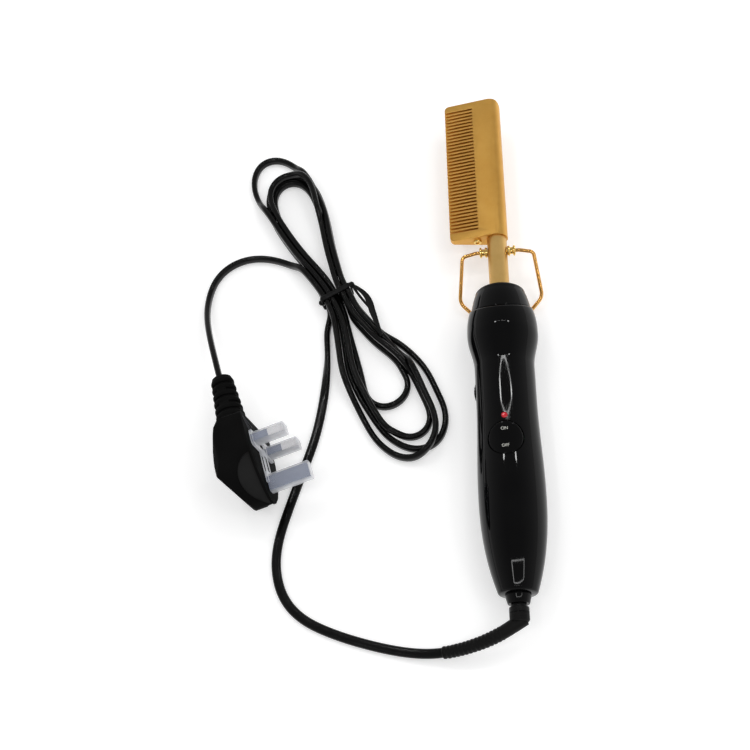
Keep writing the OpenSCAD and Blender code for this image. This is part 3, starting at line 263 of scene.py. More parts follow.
def modify(obj, kind, **settings):
    """Adds a modifier and applies it at once."""
    m = obj.modifiers.new(kind.title(), kind)
    for key, value in settings.items():
        setattr(m, key, value)
    bpy.context.view_layer.update()
    graph = bpy.context.evaluated_depsgraph_get()
    mesh = bpy.data.meshes.new_from_object(obj.evaluated_get(graph))
    obj.modifiers.clear()
    old, obj.data = obj.data, mesh
    bpy.data.meshes.remove(old)
    return obj


def cut(obj, tool, how="DIFFERENCE"):
    modify(obj, "BOOLEAN", operation=how, object=tool, solver="EXACT")
    bpy.data.objects.remove(tool)
    return obj


def bevelled(obj, width, segments=3, angle=30):
    return modify(obj, "BEVEL", width=width, segments=segments, limit_method="ANGLE",
                  angle_limit=math.radians(angle))


def joined(name, *objs):
    """Several solids as one object."""
    b = bmesh.new()
    for o in objs:
        b.from_mesh(o.data)
        bpy.data.objects.remove(o)
    return from_bmesh(name, b)


def put(obj, place, look, body, stands_for=(), sharp=35):
    """Sets the object in the part's frame, dresses it and lets it ride on a body."""
    obj.data.transform(place)
    if len(obj.data.materials) < 2:
        obj.data.materials.clear()
        obj.data.materials.append(LOOKS[look])
    obj.data.shade_smooth()
    if sharp:
        obj.data.set_sharp_from_angle(angle=math.radians(sharp))
    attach(obj, body)
    if stands_for:
        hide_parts(*stands_for)
    return obj


def rounded(points, radius, n=4, closed=True):
    """A polygon's points with its corners rounded; radius is one number or one for each corner."""
    p = [np.array(q, float) for q in points]
    m, out = len(p), []
    for i in range(m):
        r = radius[i] if hasattr(radius, "__len__") else radius
        if r <= 0 or (not closed and i in (0, m - 1)):
            out.append(p[i])
            continue
        u, v = p[i - 1] - p[i], p[(i + 1) % m] - p[i]
        lu, lv = np.linalg.norm(u), np.linalg.norm(v)
        u, v = u / lu, v / lv
        half = math.acos(max(-1, min(1, float(u @ v)))) / 2
        if half > math.radians(88):
            out.append(p[i])
            continue
        run_in = min(r / math.tan(half), lu * 0.49, lv * 0.49)
        r = run_in * math.tan(half)
        centre = p[i] + (u + v) / np.linalg.norm(u + v) * r / math.sin(half)
        a, b = p[i] + u * run_in - centre, p[i] + v * run_in - centre
        sweep_angle = math.acos(max(-1, min(1, float(a @ b) / r / r)))
        for k in range(n + 1):
            t = k / n
            q = math.sin((1 - t) * sweep_angle) * a + math.sin(t * sweep_angle) * b
            out.append(centre + q / math.sin(sweep_angle))
    return out


def grid(rows, close=False):
    """Faces between rings of equally many points; close joins the last ring to the first."""
    m, n = len(rows[0]), len(rows)
    verts = [v for row in rows for v in row]
    faces = []
    for i in range(n if close else n - 1):
        j = (i + 1) % n
        for k in range(m):
            l = (k + 1) % m
            faces.append((i * m + k, i * m + l, j * m + l, j * m + k))
    return verts, faces


def capped(name, rows):
    """A solid whose skin joins the rings, with a flat end on the first and on the last."""
    verts, faces = grid(rows)
    m, n = len(rows[0]), len(verts)
    return solid(name, verts, faces + [tuple(range(m))[::-1], tuple(range(n - m, n))])


def turned(radii, u=0.0, v=0.0):
    """Points round (u, v), one for each radius."""
    turns = [2 * math.pi * k / len(radii) for k in range(len(radii))]
    return [(u + r * math.cos(a), v + r * math.sin(a)) for r, a in zip(radii, turns)]


def circle(r, n, u=0.0, v=0.0):
    return turned([r] * n, u, v)


def box(a, b, u=0.0, v=0.0):
    """A rectangle's corners, from its half sizes and its middle."""
    return [(u - a, v - b), (u + a, v - b), (u + a, v + b), (u - a, v + b)]


def lathe(name, profile, n=64):
    """A profile of (radius, distance back) turned about the tool's axis."""
    return solid(name, *grid([[(x, -b, z) for x, z in circle(r, n)] for r, b in profile], close=True))


def prism(name, outline, low, high, axes="xyz"):
    """An outline in the first two axes, from low to high along the third."""
    place = [axes.index(c) for c in "xyz"]
    rows = [[tuple((u, v, h)[i] for i in place) for u, v in outline] for h in (low, high)]
    return capped(name, rows)


def block(name, low, high):
    outline = [(low[0], low[1]), (high[0], low[1]), (high[0], high[1]), (low[0], high[1])]
    return prism(name, outline, low[2], high[2])


def disc(name, radius, low, high, centre=(0, 0), axes="xyz", n=64):
    return prism(name, circle(radius, n, *centre), low, high, axes)


def sweep(name, path, section, turn=lambda i: 0.0):
    """A tube along a path: section gives each ring's points, across and up where turn is 0."""
    p = np.array(path, float)
    d = np.gradient(p, axis=0)
    d /= np.linalg.norm(d, axis=1)[:, None]
    across = np.cross(d, [0, 0, 1.0])
    across /= np.linalg.norm(across, axis=1)[:, None]
    up = np.cross(across, d)
    rows = []
    for i in range(len(p)):
        c, s = math.cos(turn(i)), math.sin(turn(i))
        rows.append([p[i] + across[i] * (a * c - b * s) + up[i] * (a * s + b * c)
                     for a, b in section(i)])
    return capped(name, rows)


# ---------- Cord ----------

# Where the cord leaves the boot, and its route to the hank: points from the tail's floor point
HANDLE_SIDE = [
    (-35, -15, 6.6), (-39.2, -15.2, 5.6), (-47.7, -15.2, 4), (-60.9, -13, 2.2),
    (-77.5, -8.5, 1.8), (-94.7, -2.4, 1.8), (-110.9, 5.8, 1.8), (-121.5, 17.5, 1.8),
    (-126, 34.1, 1.8), (-124.6, 49.9, 1.8), (-119.7, 66.1, 1.8), (-113, 85.5, 1.8),
    (-105.8, 106.4, 1.8), (-101.5, 127.6, 1.8), (-99.5, 145.8, 2.4), (-99, 161, 2.6),
    (-100, 173, 2.7)]
PLUG_SIDE = [
    (-112, 211.5, 6), (-124.9, 220.1, 3.5), (-136.9, 224.4, 2.8), (-148.5, 224.8, 2.8),
    (-159.7, 220.1, 2.8), (-167, 211.4, 2.9), (-170, 200.6, 3.8), (-169.5, 188.3, 6.6),
    (-166.7, 175.3, 12), (-163.2, 163.2, 17), (-159.3, 150.6, 20.6), (-155.4, 137.2, 21.8),
    (-153.4, 130, 21.9)]
# The hank's loops above and below its tie, each from one group of strands round to the other
TOP_OUTER = [
    (-133, 249), (-140, 260), (-145, 271), (-146, 282.5), (-143, 291.5), (-137.5, 295),
    (-130.5, 295), (-123, 290.5), (-116, 282.5), (-110, 273.5), (-106, 264)]
TOP_INNER = [
    (-132.6, 261), (-133.2, 266.5), (-131.6, 272), (-127.6, 276.2), (-122, 277.8),
    (-116.6, 276.2), (-112.4, 272), (-108.8, 265.5)]
LOOP_1 = [
    (-60.5, 163), (-51, 153.5), (-43, 142.5), (-38, 129.5), (-34, 120), (-33, 111.5),
    (-35.5, 102.5), (-40.5, 97), (-47.5, 95), (-54.5, 96), (-62, 101), (-69.5, 109)]
LOOP_2 = [
    (-57.5, 151.5), (-48.5, 139.5), (-44.5, 127.5), (-40, 117.5), (-38, 108), (-39.5, 99.5),
    (-43.5, 93), (-49, 90), (-55, 90), (-62.5, 93), (-69.5, 99.5), (-75, 107.5)]
LOOP_3 = [
    (-58, 151), (-51, 140.5), (-46.5, 128.5), (-42.5, 120), (-41, 112), (-44, 105.5),
    (-49, 102.5), (-55, 102), (-61.5, 104.5), (-67.5, 109.5)]
LOOP_4 = [
    (-61, 152), (-55.5, 144), (-52.8, 137.5), (-53.2, 131), (-56.6, 125.4), (-62, 121.8),
    (-68, 121), (-73.4, 123.2), (-77.6, 127.8)]
# Middle lines of the four groups of strands, downwards
LEFT_TOP = [(-130.5, 248), (-125, 238), (-117, 225), (-108.5, 213)]
RIGHT_TOP = [(-102.5, 251), (-100, 238), (-97.5, 224), (-94, 210.5)]
LEFT_BOTTOM = [(-90.5, 174), (-87.5, 157.5), (-84, 140)]
RIGHT_BOTTOM = [(-83.5, 182), (-77, 174), (-69.5, 164)]
TIE_AT, TIE_TURN = (-93.4, 193.0), math.radians(27.5)
CORD_W, CORD_T = 5.2, 3.4
LOW, HIGH = CORD_W / 2, CORD_W * 1.5


def beside(points, shift):
    """Points moved sideways, to the picture's right of a line that runs downwards."""
    p = np.array(points, float)
    d = np.gradient(p, axis=0)
    d /= np.linalg.norm(d, axis=1)[:, None]
    return p + np.stack([-d[:, 1], d[:, 0]], 1) * np.reshape(shift, (-1, 1))


def strand(points, z):
    z = np.broadcast_to(np.array(z, float), (len(points),))
    return [(float(p[0]), float(p[1]), float(h)) for p, h in zip(points, z)]


def slot_points(shift, z, upwards):
    """The two points at which a strand enters and leaves the tie."""
    across = np.array([math.cos(TIE_TURN), math.sin(TIE_TURN)])
    along = np.array([-across[1], across[0]]) * (1 if upwards else -1)
    middle = np.array(TIE_AT) + across * shift
    return strand([middle - along * 7, middle + along * 7], z)


def loop(start, points, end, z_group, z_loop):
    """In along one group of strands, round a loop and back along another group."""
    z = [z_loop] * len(points)
    z[0] = z[-1] = z_group
    return strand(start, z_group) + strand(points, z) + strand(end, z_group)


def top_loop(points, left, right, z_group, z_loop=LOW):
    return loop(beside(LEFT_TOP, left)[::-1], points, beside(RIGHT_TOP, right), z_group, z_loop)


def bottom_loop(points, right, left, z_group, z_loop=LOW):
    return loop(beside(RIGHT_BOTTOM, right), points, beside(LEFT_BOTTOM, left)[::-1], z_group, z_loop)


def resampled(points, step):
    """Points an even step apart on a Catmull-Rom curve through the given points."""
    p = np.array(points, float)
    q = np.vstack([2 * p[0] - p[1], p, 2 * p[-1] - p[-2]])
    out = []
    for i in range(len(p) - 1):
        a, b, c, d = q[i:i + 4]
        for t in np.linspace(0, 1, 12, endpoint=False):
            out.append(0.5 * (2 * b + (c - a) * t + (2 * a - 5 * b + 4 * c - d) * t * t
                              + (3 * b - a - 3 * c + d) * t ** 3))
    out = np.array(out + [p[-1]])
    run = np.concatenate([[0], np.cumsum(np.linalg.norm(np.diff(out, axis=0), axis=1))])
    n = max(2, int(round(run[-1] / step)))
    s = np.linspace(0, run[-1], n + 1)
    return np.stack([np.interp(s, run, out[:, k]) for k in range(3)], 1)


def laid_down(path, step, passes=90):
    """Lets the strands settle on the floor and on each other, without passing through."""
    p = path.copy()
    n = len(p)
    # Only strands that are apart along the cord and close in plan can meet
    i, j = np.triu_indices(n, int(16 / step))
    near = np.linalg.norm(p[i, :2] - p[j, :2], axis=1) < 12
    i, j = i[near], j[near]
    # The ends are held where they are, and only the middle sinks to the floor
    ends = np.minimum(np.arange(n), np.arange(n)[::-1]) * step
    loose = np.clip((ends - 6) / 20, 0, 1)[:, None]
    rests = np.clip((ends - 60) / 40, 0, 1)
    for _ in range(passes):
        q = p.copy()
        q[1:-1] += 0.35 * ((p[:-2] + p[2:]) / 2 - p[1:-1])
        q[:, :2] += 0.04 * (path[:, :2] - q[:, :2])
        q[:, 2] -= 0.06 * rests
        p = p + (q - p) * loose
        for _ in range(2):
            d = p[j] - p[i]
            flat = np.linalg.norm(d[:, :2], axis=1)
            side_gap = CORD_T + 0.1 - flat
            rise = CORD_W + 0.1 - np.abs(d[:, 2])
            hit = (side_gap > 0) & (rise > 0)
            beside_it = hit & (np.abs(d[:, 2]) < CORD_W * 0.5) & (rise > side_gap)
            above = hit & ~beside_it
            push = np.zeros_like(p)
            count = np.ones(n)
            u = d[beside_it, :2] / np.maximum(flat[beside_it], 1e-6)[:, None]
            u *= (side_gap[beside_it] / 2)[:, None]
            np.add.at(push, (i[beside_it], slice(0, 2)), -u)
            np.add.at(push, (j[beside_it], slice(0, 2)), u)
            up = np.sign(d[above, 2] + 1e-9) * rise[above] / 2
            np.add.at(push[:, 2], i[above], -up)
            np.add.at(push[:, 2], j[above], up)
            np.add.at(count, i[hit], 1)
            np.add.at(count, j[hit], 1)
            p += push / count[:, None] * 1.4 * loose
            floor = np.where(rests > 0, np.minimum(path[:, 2], LOW), 0)
            p[:, 2] = np.maximum(p[:, 2], floor)
    return p


def cord_route():
    # Each pass through the tie: its place across, its height, and where the cord goes next
    passes = (
        (-6.8, LOW, top_loop(beside(TOP_INNER, 3.4), -1.7, 1.7, LOW)),
        (6.8, LOW, bottom_loop(LOOP_1, 3.2, (-0.5, -1.2, -1.6), LOW)),
        (-3.4, LOW, top_loop(TOP_INNER, 1.7, -1.7, LOW)),
        (3.4, LOW, bottom_loop(LOOP_4, -3.2, (2.8, 3.8, 4.6), LOW)),
        (0, LOW, top_loop(beside(TOP_INNER, 1.7), 1.7, -1.7, HIGH, HIGH)),
        (3.4, HIGH, bottom_loop(LOOP_3, -1.7, (1.5, 1.6, 1.7), HIGH)),
        (-3.4, HIGH, top_loop(TOP_OUTER, -1.7, 1.7, HIGH)),
        (6.8, HIGH, bottom_loop(LOOP_2, 1.8, (-3.4, -4.2, -4.8), HIGH, HIGH)),
        (-6.8, HIGH, PLUG_SIDE))
    points = HANDLE_SIDE
    for k, (shift, z, onwards) in enumerate(passes):
        points = points + slot_points(shift, z, k % 2 == 0) + onwards
    step = 2.0
    laid = laid_down(resampled(points, step), step)
    for _ in range(4):
        laid[1:-1] = laid[1:-1] / 2 + (laid[:-2] + laid[2:]) / 4
    return laid


route = cord_route()


def stadium(w, t, n=8):
    """A flat twin cord's section: width w, thickness t, with round sides."""
    r = t / 2
    half = w / 2 - r
    rows = []
    for side, start in ((1, -90), (-1, 90)):
        for k in range(n + 1):
            a = math.radians(start + 180 * k / n)
            rows.append((side * half + r * math.cos(a), r * math.sin(a)))
    return rows


CORD_ROWS = stadium(CORD_W - 0.1, CORD_T - 0.1)
run = np.concatenate([[0], np.cumsum(np.linalg.norm(np.diff(route, axis=0), axis=1))])
# How far along itself the cord begins to turn on edge, and over what length
TURN_FROM, TURN_OVER = 205, 45


def cord_turn(i):
    """Flat on the floor near the handle, on edge in the hank and on towards the plug."""
    return math.pi / 2 * (1 - fade(min(max((run[i] - TURN_FROM) / TURN_OVER, 0), 1)))


cord = put(sweep("mains_cord", route + TAIL, lambda i: CORD_ROWS, cord_turn), WORLD, "cord_black",
           "tool", ("cord_handle_side", "cord_hank", "cord_plug_side"))

# ---------- Comb head and shaft ----------

REACH, SPINE_R, EDGE = 26.0, 6.3, 3.4
HEAD_FROM, HEAD_TO = 8.1, 100.4
# Radii of the toothed edge's two corners and of the spine's far end
EDGE_CORNER, SPINE_CORNER = 2.6, 3.4
SLOTS, SLOT_W, SLOT_DEEP = 37, 1.05, 16.2
SCREW_X = -10.7


def set_back(r, d):
    """How far an outline with a corner of radius r stands back, at the distance d from its end."""
    return r - math.sqrt(max(r * r - (r - d) ** 2, 0)) if d < r else 0


def comb_head():
    far = math.hypot(REACH, EDGE / 2)
    slope = math.asin(SPINE_R / far) - math.atan(EDGE / 2 / REACH)
    # The flanks touch the round spine at this turn
    touch = math.pi / 2 + slope
    spine = [(SPINE_R * math.cos(a), SPINE_R * math.sin(a)) for a in np.linspace(touch, -touch, 40)]
    section = [(-REACH, EDGE / 2)] + spine + [(-REACH, -EDGE / 2)]
    ys = [HEAD_FROM + EDGE_CORNER * (1 - math.cos(a)) for a in np.linspace(0, math.pi / 2, 8)]
    ys += [HEAD_TO - SPINE_CORNER * (1 - math.cos(a)) for a in np.linspace(math.pi / 2, 0, 10)]
    rows = []
    for y in ys:
        lo = -REACH + set_back(EDGE_CORNER, min(y - HEAD_FROM, HEAD_TO - y))
        hi = SPINE_R - set_back(SPINE_CORNER, HEAD_TO - y)
        row = []
        for x, z in section:
            if x < lo:
                z *= (EDGE / 2 + (lo + REACH) * math.tan(slope)) / (EDGE / 2)
            row.append((min(max(x, lo), hi), y, z))
        rows.append(row)
    head = bevelled(capped("comb_head_body", rows), 0.7, 4, 40)
    slots = [block("slot", (-REACH - 1, y - SLOT_W / 2, -SPINE_R),
                   (-REACH + SLOT_DEEP, y + SLOT_W / 2, SPINE_R))
             for y in np.linspace(HEAD_FROM + 5.4, HEAD_TO - 5.1, SLOTS)]
    cut(head, joined("slots", *slots))
    cut(head, disc("spigot_hole", 4.15, HEAD_FROM - 1, HEAD_FROM + 10.5, axes="xzy", n=40))
    cut(head, disc("screw_hole", 1.3, HEAD_FROM - 1, HEAD_FROM + 7.4, (SCREW_X, 0), axes="xzy", n=24))
    return bevelled(head, 0.13, 2, 40)


put(comb_head(), TOOL, "head_gold", "tool", ("comb_head",), sharp=28)


def head_screw():
    """A round cap with a hexagonal socket."""
    n = 36
    hexagon = [1.144 / math.cos((a % (math.pi / 3)) - math.pi / 6) * math.cos(math.pi / 6)
               for a in np.linspace(0, 2 * math.pi, n, endpoint=False)]
    cap = ((1.25, 6.9), (1.25, 0), (2.2, 0), (2.2, -1.2), (2.05, -1.42), (1.8, -1.5))
    socket = ((1.06, -1.5), (1.0, -1.38), (1.0, -0.5))
    rings = [([r] * n, y) for r, y in cap]
    rings += [([share * r for r in hexagon], y) for share, y in socket]
    rings.append(([0.3] * n, -0.45))
    return capped("head_screw_cap", [[(x, HEAD_FROM + y, z) for x, z in turned(radii, SCREW_X)]
                                     for radii, y in rings])


put(head_screw(), TOOL, "bright_brass", "tool", ("head_screw",))

shaft = lathe("shaft_sleeve", rounded([(3.2, -18), (4.1, -18), (4.1, -8.1), (5.5, -8.1), (5.5, 44),
                                       (7, 44), (7, 45.4), (3.2, 45.4)], 0.25, 3), 72)
put(shaft, TOOL, "shaft_gold", "tool", ("shaft_tube",))

# ---------- Bushes and stand ----------


def bush(side, name):
    """A turned bush: root flange, waist and a rounded outer flange."""
    s0 = 5.6
    prof = [(1.12, s0 - 2.3), (1.9, s0 - 2.3), (1.9, s0), (2.7, s0), (3.0, s0 + 1.2), (2.0, s0 + 1.5),
            (2.0, s0 + 2.9), (3.0, s0 + 3.2), (3.0, s0 + 4.1), (1.9, s0 + 4.5), (1.12, s0 + 4.5)]
    prof = rounded(prof, [0, 0.1, 0.1, 0.3, 0.4, 0.3, 0.3, 0.4, 0.4, 0.25, 0.15], 5)
    rows = [[(side * h, y, z) for y, z in circle(r, 48)] for r, h in prof]
    return solid(name, *grid(rows, close=True))


for side, word_of in ((-1, "left"), (1, "right")):
    put(bush(side, word_of + "_bush"), TOOL, "bright_brass", "tool", (word_of + "_pivot_bush",))

# The stand's turn at rest; half of its wire, across and back from the hinge; its bends' radii
STAND_ANGLE = math.radians(30.0176)
STAND = [(3.9, 0), (12, 0), (19.8, 1.6), (23, 27), (13.5, 37)]
BENDS = [0, 2.8, 2.8, 7, 7]


def stand_wire():
    """One bent wire, from inside one bush round the crossbar to the other."""
    half = [np.array(p, float) for p in STAND]
    pts = half + [np.array((-p[0], p[1])) for p in half[::-1]]
    path = rounded(pts, BENDS + BENDS[::-1], 12, closed=False)
    fine = []
    for a, b in zip(path[:-1], path[1:]):
        steps = max(1, int(np.linalg.norm(b - a) / 1.5))
        fine += [a + (b - a) * t / steps for t in range(steps)]
    fine.append(path[-1])
    p3 = [(q[0], -q[1], 0) for q in fine]
    wire = sweep("stand_bail", p3, lambda i: circle(1.05, 20))
    wire.data.transform(Matrix.Rotation(STAND_ANGLE, 4, "X"))
    return wire


put(stand_wire(), TOOL, "stand_gold", "stand", ("stand_wire",), sharp=60)

# ---------- Collar and handle ----------

# Where the slanted seam crosses the axis, and its slope
SEAM, SLOPE = 37.2, math.tan(math.radians(18))
# The lamp and the button are off the middle line, at these distances back from the hinge
CONTROL_X, LAMP_BACK, BUTTON_BACK = -1.0, 105.8, 118.2
WHEEL_AT = (-2.4, -85.5)
TURNS = 144


def collar_r(b):
    return 11.9 + 4.2 * math.sqrt(max(b - 26.1, 0) / 11.1)


def handle_r(b):
    if b < 52.5:
        return max(collar_r(b) + 0.5, 19.1 - 2.4 * ((52.5 - b) / 15.3) ** 2.5)
    if b < 72:
        return lerp(16, 19.1, fade((b - 52.5) / 19.5))
    if b < 93:
        return 16
    if b < 142:
        return lerp(17.4, 16, fade((b - 93) / 49))
    return 17.4 - 7.6 * (min(b - 142, 53.2) / 53.2) ** 2.4


def seam_back(a, radius):
    """Where the slanted seam crosses the side at turn a."""
    b = SEAM
    for _ in range(12):
        b = SEAM + radius(b) * math.sin(a) * SLOPE
    return b


def seam(s):
    return s


def slanted(name, radius, steps, fixed, rear_steps=()):
    """A turned solid with one end on the slanted seam.

    Each step is (share of the way to the seam, change of radius, offset).
    """
    rows = [[(r, b)] * TURNS for r, b in fixed]
    for share_of, less, offset in steps:
        row = []
        for k in range(TURNS):
            b = share_of(seam_back(2 * math.pi * k / TURNS, radius)) + offset
            row.append((radius(b) - less, b))
        rows.append(row)
    rows += [[(r, b)] * TURNS for r, b in rear_steps]
    points = [[(x, -b, z) for (x, z), (r, b) in zip(turned([r for r, b in row]), row)] for row in rows]
    return solid(name, *grid(points, close=True))


def collar():
    """The collar, from its front opening over a rounded rim to the slanted seam."""
    rim = [(11.33 + 2.6 * math.cos(a), 28.7 + 2.6 * math.sin(a))
           for a in np.linspace(-math.pi / 2, -0.2, 10)]
    fixed = [(10, 36), (10, 28.7), (5.8, 28.7), (5.8, 26.4), (6.1, 26.1)] + rim
    steps = [(lambda s, t=t: lerp(29.0, s, t), 0, 0) for t in np.linspace(0, 1, 16)[:-1]]
    steps += [(seam, 0.0, -0.45), (seam, 0.08, -0.25), (seam, 0.3, -0.12), (seam, 2.9, -0.12),
              (seam, 2.9, 2.0)]
    return slanted("collar_shell", collar_r, steps, fixed, [(12.5, 47.5), (10, 47.5)])


put(collar(), TOOL, "black_gloss", "tool", ("front_collar",), sharp=40)


def handle_blank():
    steps = [(seam, 2.1, 0.12), (seam, 0.9, 0.12), (seam, 0.6, 0.17), (seam, 0.35, 0.3),
             (seam, 0.15, 0.55), (seam, 0.04, 0.9)]
    steps += [(lambda s, t=t: lerp(s + 1.3, 49, t), 0, 0) for t in np.linspace(0, 1, 9)]
    outer = [(handle_r(b), b) for b in np.linspace(50, 193.6, 112)]
    outer += [(10.1, 194.4), (9.7, 194.95), (9.3, 195.2), (5.2, 195.2), (5.2, 192.8)]
    inner = [(handle_r(b) - 2.2, b) for b in np.linspace(191.5, 49, 50)]
    return slanted("handle_blank", handle_r, steps, [], outer + inner + [(12.7, 48.4)])


def halved(obj, side, name):
    """The half over (1) or under (-1) the tool's middle plane."""
    b = bmesh.new()
    b.from_mesh(obj.data)
    geom = b.verts[:] + b.edges[:] + b.faces[:]
    cutting = bmesh.ops.bisect_plane(b, geom=geom, plane_co=(0, 0, side * 0.04), plane_no=(0, 0, side),
                                     clear_inner=True)
    edges = [e for e in cutting["geom_cut"] if isinstance(e, bmesh.types.BMEdge)]
    bmesh.ops.holes_fill(b, edges=edges)
    bmesh.ops.recalc_face_normals(b, faces=b.faces)
    return from_bmesh(name, b)


def true_normals(obj):
    """Gives the turned surface its exact normals, so that cuts leave no dents in the gloss."""
    me = obj.data
    me.shade_smooth()
    me.set_sharp_from_angle(angle=math.radians(35))
    normals = [(0.0, 0.0, 0.0)] * len(me.loops)
    co = [v.co for v in me.vertices]

    def exact(v):
        r, b = math.hypot(v.x, v.z), -v.y
        slope = (handle_r(b + 0.05) - handle_r(b - 0.05)) / 0.1
        return Vector((v.x / r, slope, v.z / r)).normalized()

    on = []
    for v in co:
        r, b = math.hypot(v.x, v.z), -v.y
        s = seam_back(math.atan2(v.z, v.x), handle_r) if b < 50 else 0
        on.append(abs(r - handle_r(b)) < 0.04 and b > s + 1.25 and b < 194)
    for poly in me.polygons:
        if all(on[i] for i in poly.vertices):
            for li in poly.loop_indices:
                n = exact(co[me.loops[li].vertex_index])
                if n.dot(poly.normal) > 0.8:
                    normals[li] = tuple(n)
    me.normals_split_custom_set(normals)


def handle_half(side):
    blank = handle_blank()
    half = halved(blank, side, "handle_upper" if side > 0 else "handle_lower")
    bpy.data.objects.remove(blank)
    cut(half, disc("wheel_slot", 14.75, -1.85, 1.85, WHEEL_AT, n=96))
    if side > 0:
        cut(half, disc("button_hole", 9.4, 8, 25, (CONTROL_X, -BUTTON_BACK), n=72))
        cut(half, disc("lamp_hole", 1.66, 8, 25, (CONTROL_X, -LAMP_BACK), n=32))
    else:
        holes = [disc("screw_recess", 2.8, -25, -9.5, (x, -b), n=32)
                 for x in (-7, 7) for b in (60, 158)]
        cut(half, joined("recesses", *holes))
    return half


def put_turned(obj, node):
    """As put, for a half of the handle, with its exact normals."""
    true_normals(obj)
    kept = [tuple(loop.normal) for loop in obj.data.loops]
    me = obj.data
    me.transform(TOOL)
    turn = TOOL.to_3x3().normalized()
    me.normals_split_custom_set([tuple(turn @ Vector(n)) for n in kept])
    me.materials.clear()
    me.materials.append(LOOKS["black_gloss"])
    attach(obj, "tool")
    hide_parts(node)


put_turned(handle_half(1), "handle_top_shell")
put_turned(handle_half(-1), "handle_bottom_shell")

# ---------- Button, lamp and wheel ----------

# The button's rest position on its rocker
ROCK = (Matrix.Translation(Vector((0, -BUTTON_BACK, 11.5))) @ Matrix.Rotation(math.radians(3), 4, "X")
        @ Matrix.Translation(Vector((0, BUTTON_BACK, -11.5))))
BUTTON_R, BUTTON_TOP = 8.8, 17.2314


def button_z(x):
    return math.sqrt(BUTTON_TOP ** 2 - x * x)


def button():
    """A round cap that follows the handle's curve, with a rounded rim and a hollow skirt."""
    n, edge = 72, 0.45
    tops = [(BUTTON_R, edge)] + [(BUTTON_R - edge + edge * math.cos(a), edge - edge * math.sin(a))
                                 for a in np.linspace(0.2, math.pi / 2, 6)]
    tops += [(r, 0) for r in np.linspace(BUTTON_R - edge, 0.4, 14)[1:]]
    middle = (CONTROL_X, -BUTTON_BACK)
    rows = [[(x, y, 6.8) for x, y in circle(r, n, *middle)] for r in (BUTTON_R - 1.3, BUTTON_R)]
    rows += [[(x, y, button_z(x) - drop) for x, y in circle(r, n, *middle)] for r, drop in tops]
    return capped("button_cap", rows)


cap = button()
cap.data.transform(ROCK)
put(cap, TOOL, "black_gloss", "button", ("power_button",), sharp=50)


def word(name, text, back, x, size):
    """Printed letters that lie on the button's curve."""
    curve = bpy.data.curves.new(name, "FONT")
    curve.body, curve.size, curve.align_x, curve.align_y = text, size, "CENTER", "CENTER"
    curve.offset = 0.02
    tmp = linked(name + "_curve", curve)
    bpy.context.view_layer.update()
    graph = bpy.context.evaluated_depsgraph_get()
    mesh = bpy.data.meshes.new_from_object(tmp.evaluated_get(graph))
    bpy.data.objects.remove(tmp)
    b = bmesh.new()
    b.from_mesh(mesh)
    bmesh.ops.subdivide_edges(b, edges=b.edges, cuts=1)
    for v in b.verts:
        px = x + v.co.x
        v.co = Vector((px, -back + v.co.y, button_z(px) + 0.03))
    b.to_mesh(mesh)
    b.free()
    mesh.transform(ROCK)
    put(linked(name, mesh), TOOL, "print", "button", sharp=None)


word("mark_on", "ON", 113.4, -1.4, 2.3)
word("mark_off", "OFF", 122.5, -1.3, 2.2)


def lamp_dome():
    top = handle_r(LAMP_BACK) + 0.25
    rings = ((1.6, 12.0), (1.6, top - 0.5), (1.52, top - 0.3), (1.3, top - 0.12), (0.95, top - 0.03),
             (0.5, top), (0.1, top))
    rows = [[(x, y, z) for x, y in circle(r, 32, CONTROL_X, -LAMP_BACK)] for r, z in rings]
    return capped("lamp_dome", rows)


put(lamp_dome(), TOOL, "red_lens", "tool", ("lamp_lens",))


def wheel():
    """A thin wheel with grooves round its edge, on a stub axle."""
    grooves, radius = 54, 14.4
    n = grooves * 6
    depth = [0.3 * max(0, math.cos(2 * math.pi * k * grooves / n)) ** 2 for k in range(n)]
    rings = [([2.0] * n, -4.9), ([2.0] * n, -1.5)]
    for edge, z in ((-0.35, -1.5), (0, -1.2), (0, 1.2), (-0.35, 1.5)):
        rings.append(([radius + edge - d for d in depth], z))
    rings.append(([0.4] * n, 1.5))
    rows = [[(x, y, z) for x, y in turned(radii, *WHEEL_AT)] for radii, z in rings]
    return capped("thumb_wheel", rows)


put(wheel(), TOOL, "black_matte", "wheel", ("temperature_wheel",), sharp=50)

# ---------- Tail, swivel and boot ----------

ring = lathe("tail_collar", rounded([(3.2, 191.8), (5.0, 191.8), (5.0, 195.3), (6.6, 195.3),
                                     (6.6, 196.2), (5.5, 200.2), (3.2, 200.2)],
                                    [0, 0, 0, 0.2, 0.3, 0.35, 0.1], 4), 72)
put(ring, TOOL, "black_gloss", "tool", ("tail_ring",))
barrel = lathe("swivel_head", rounded([(0.2, 188), (3.0, 188), (3.0, 200.35), (3.9, 200.35),
                                       (3.9, 201.8), (5.0, 201.8), (5.0, 204.6), (0.2, 204.6)],
                                      [0, 0, 0, 0.1, 0.1, 0.4, 0.1, 0], 4), 64)
put(barrel, TOOL, "black_matte", "swivel", ("swivel_barrel",))

BOOT = [
    (4.6, 0.5, 16.2), (2.6, -2.6, 16.1), (-2.5, -5.6, 15.8), (-9.9, -9.4, 14.5),
    (-18.3, -12.3, 12.1), (-27.5, -14.2, 9.1), (-35, -15, 6.6), (-39.2, -15.2, 5.6)]


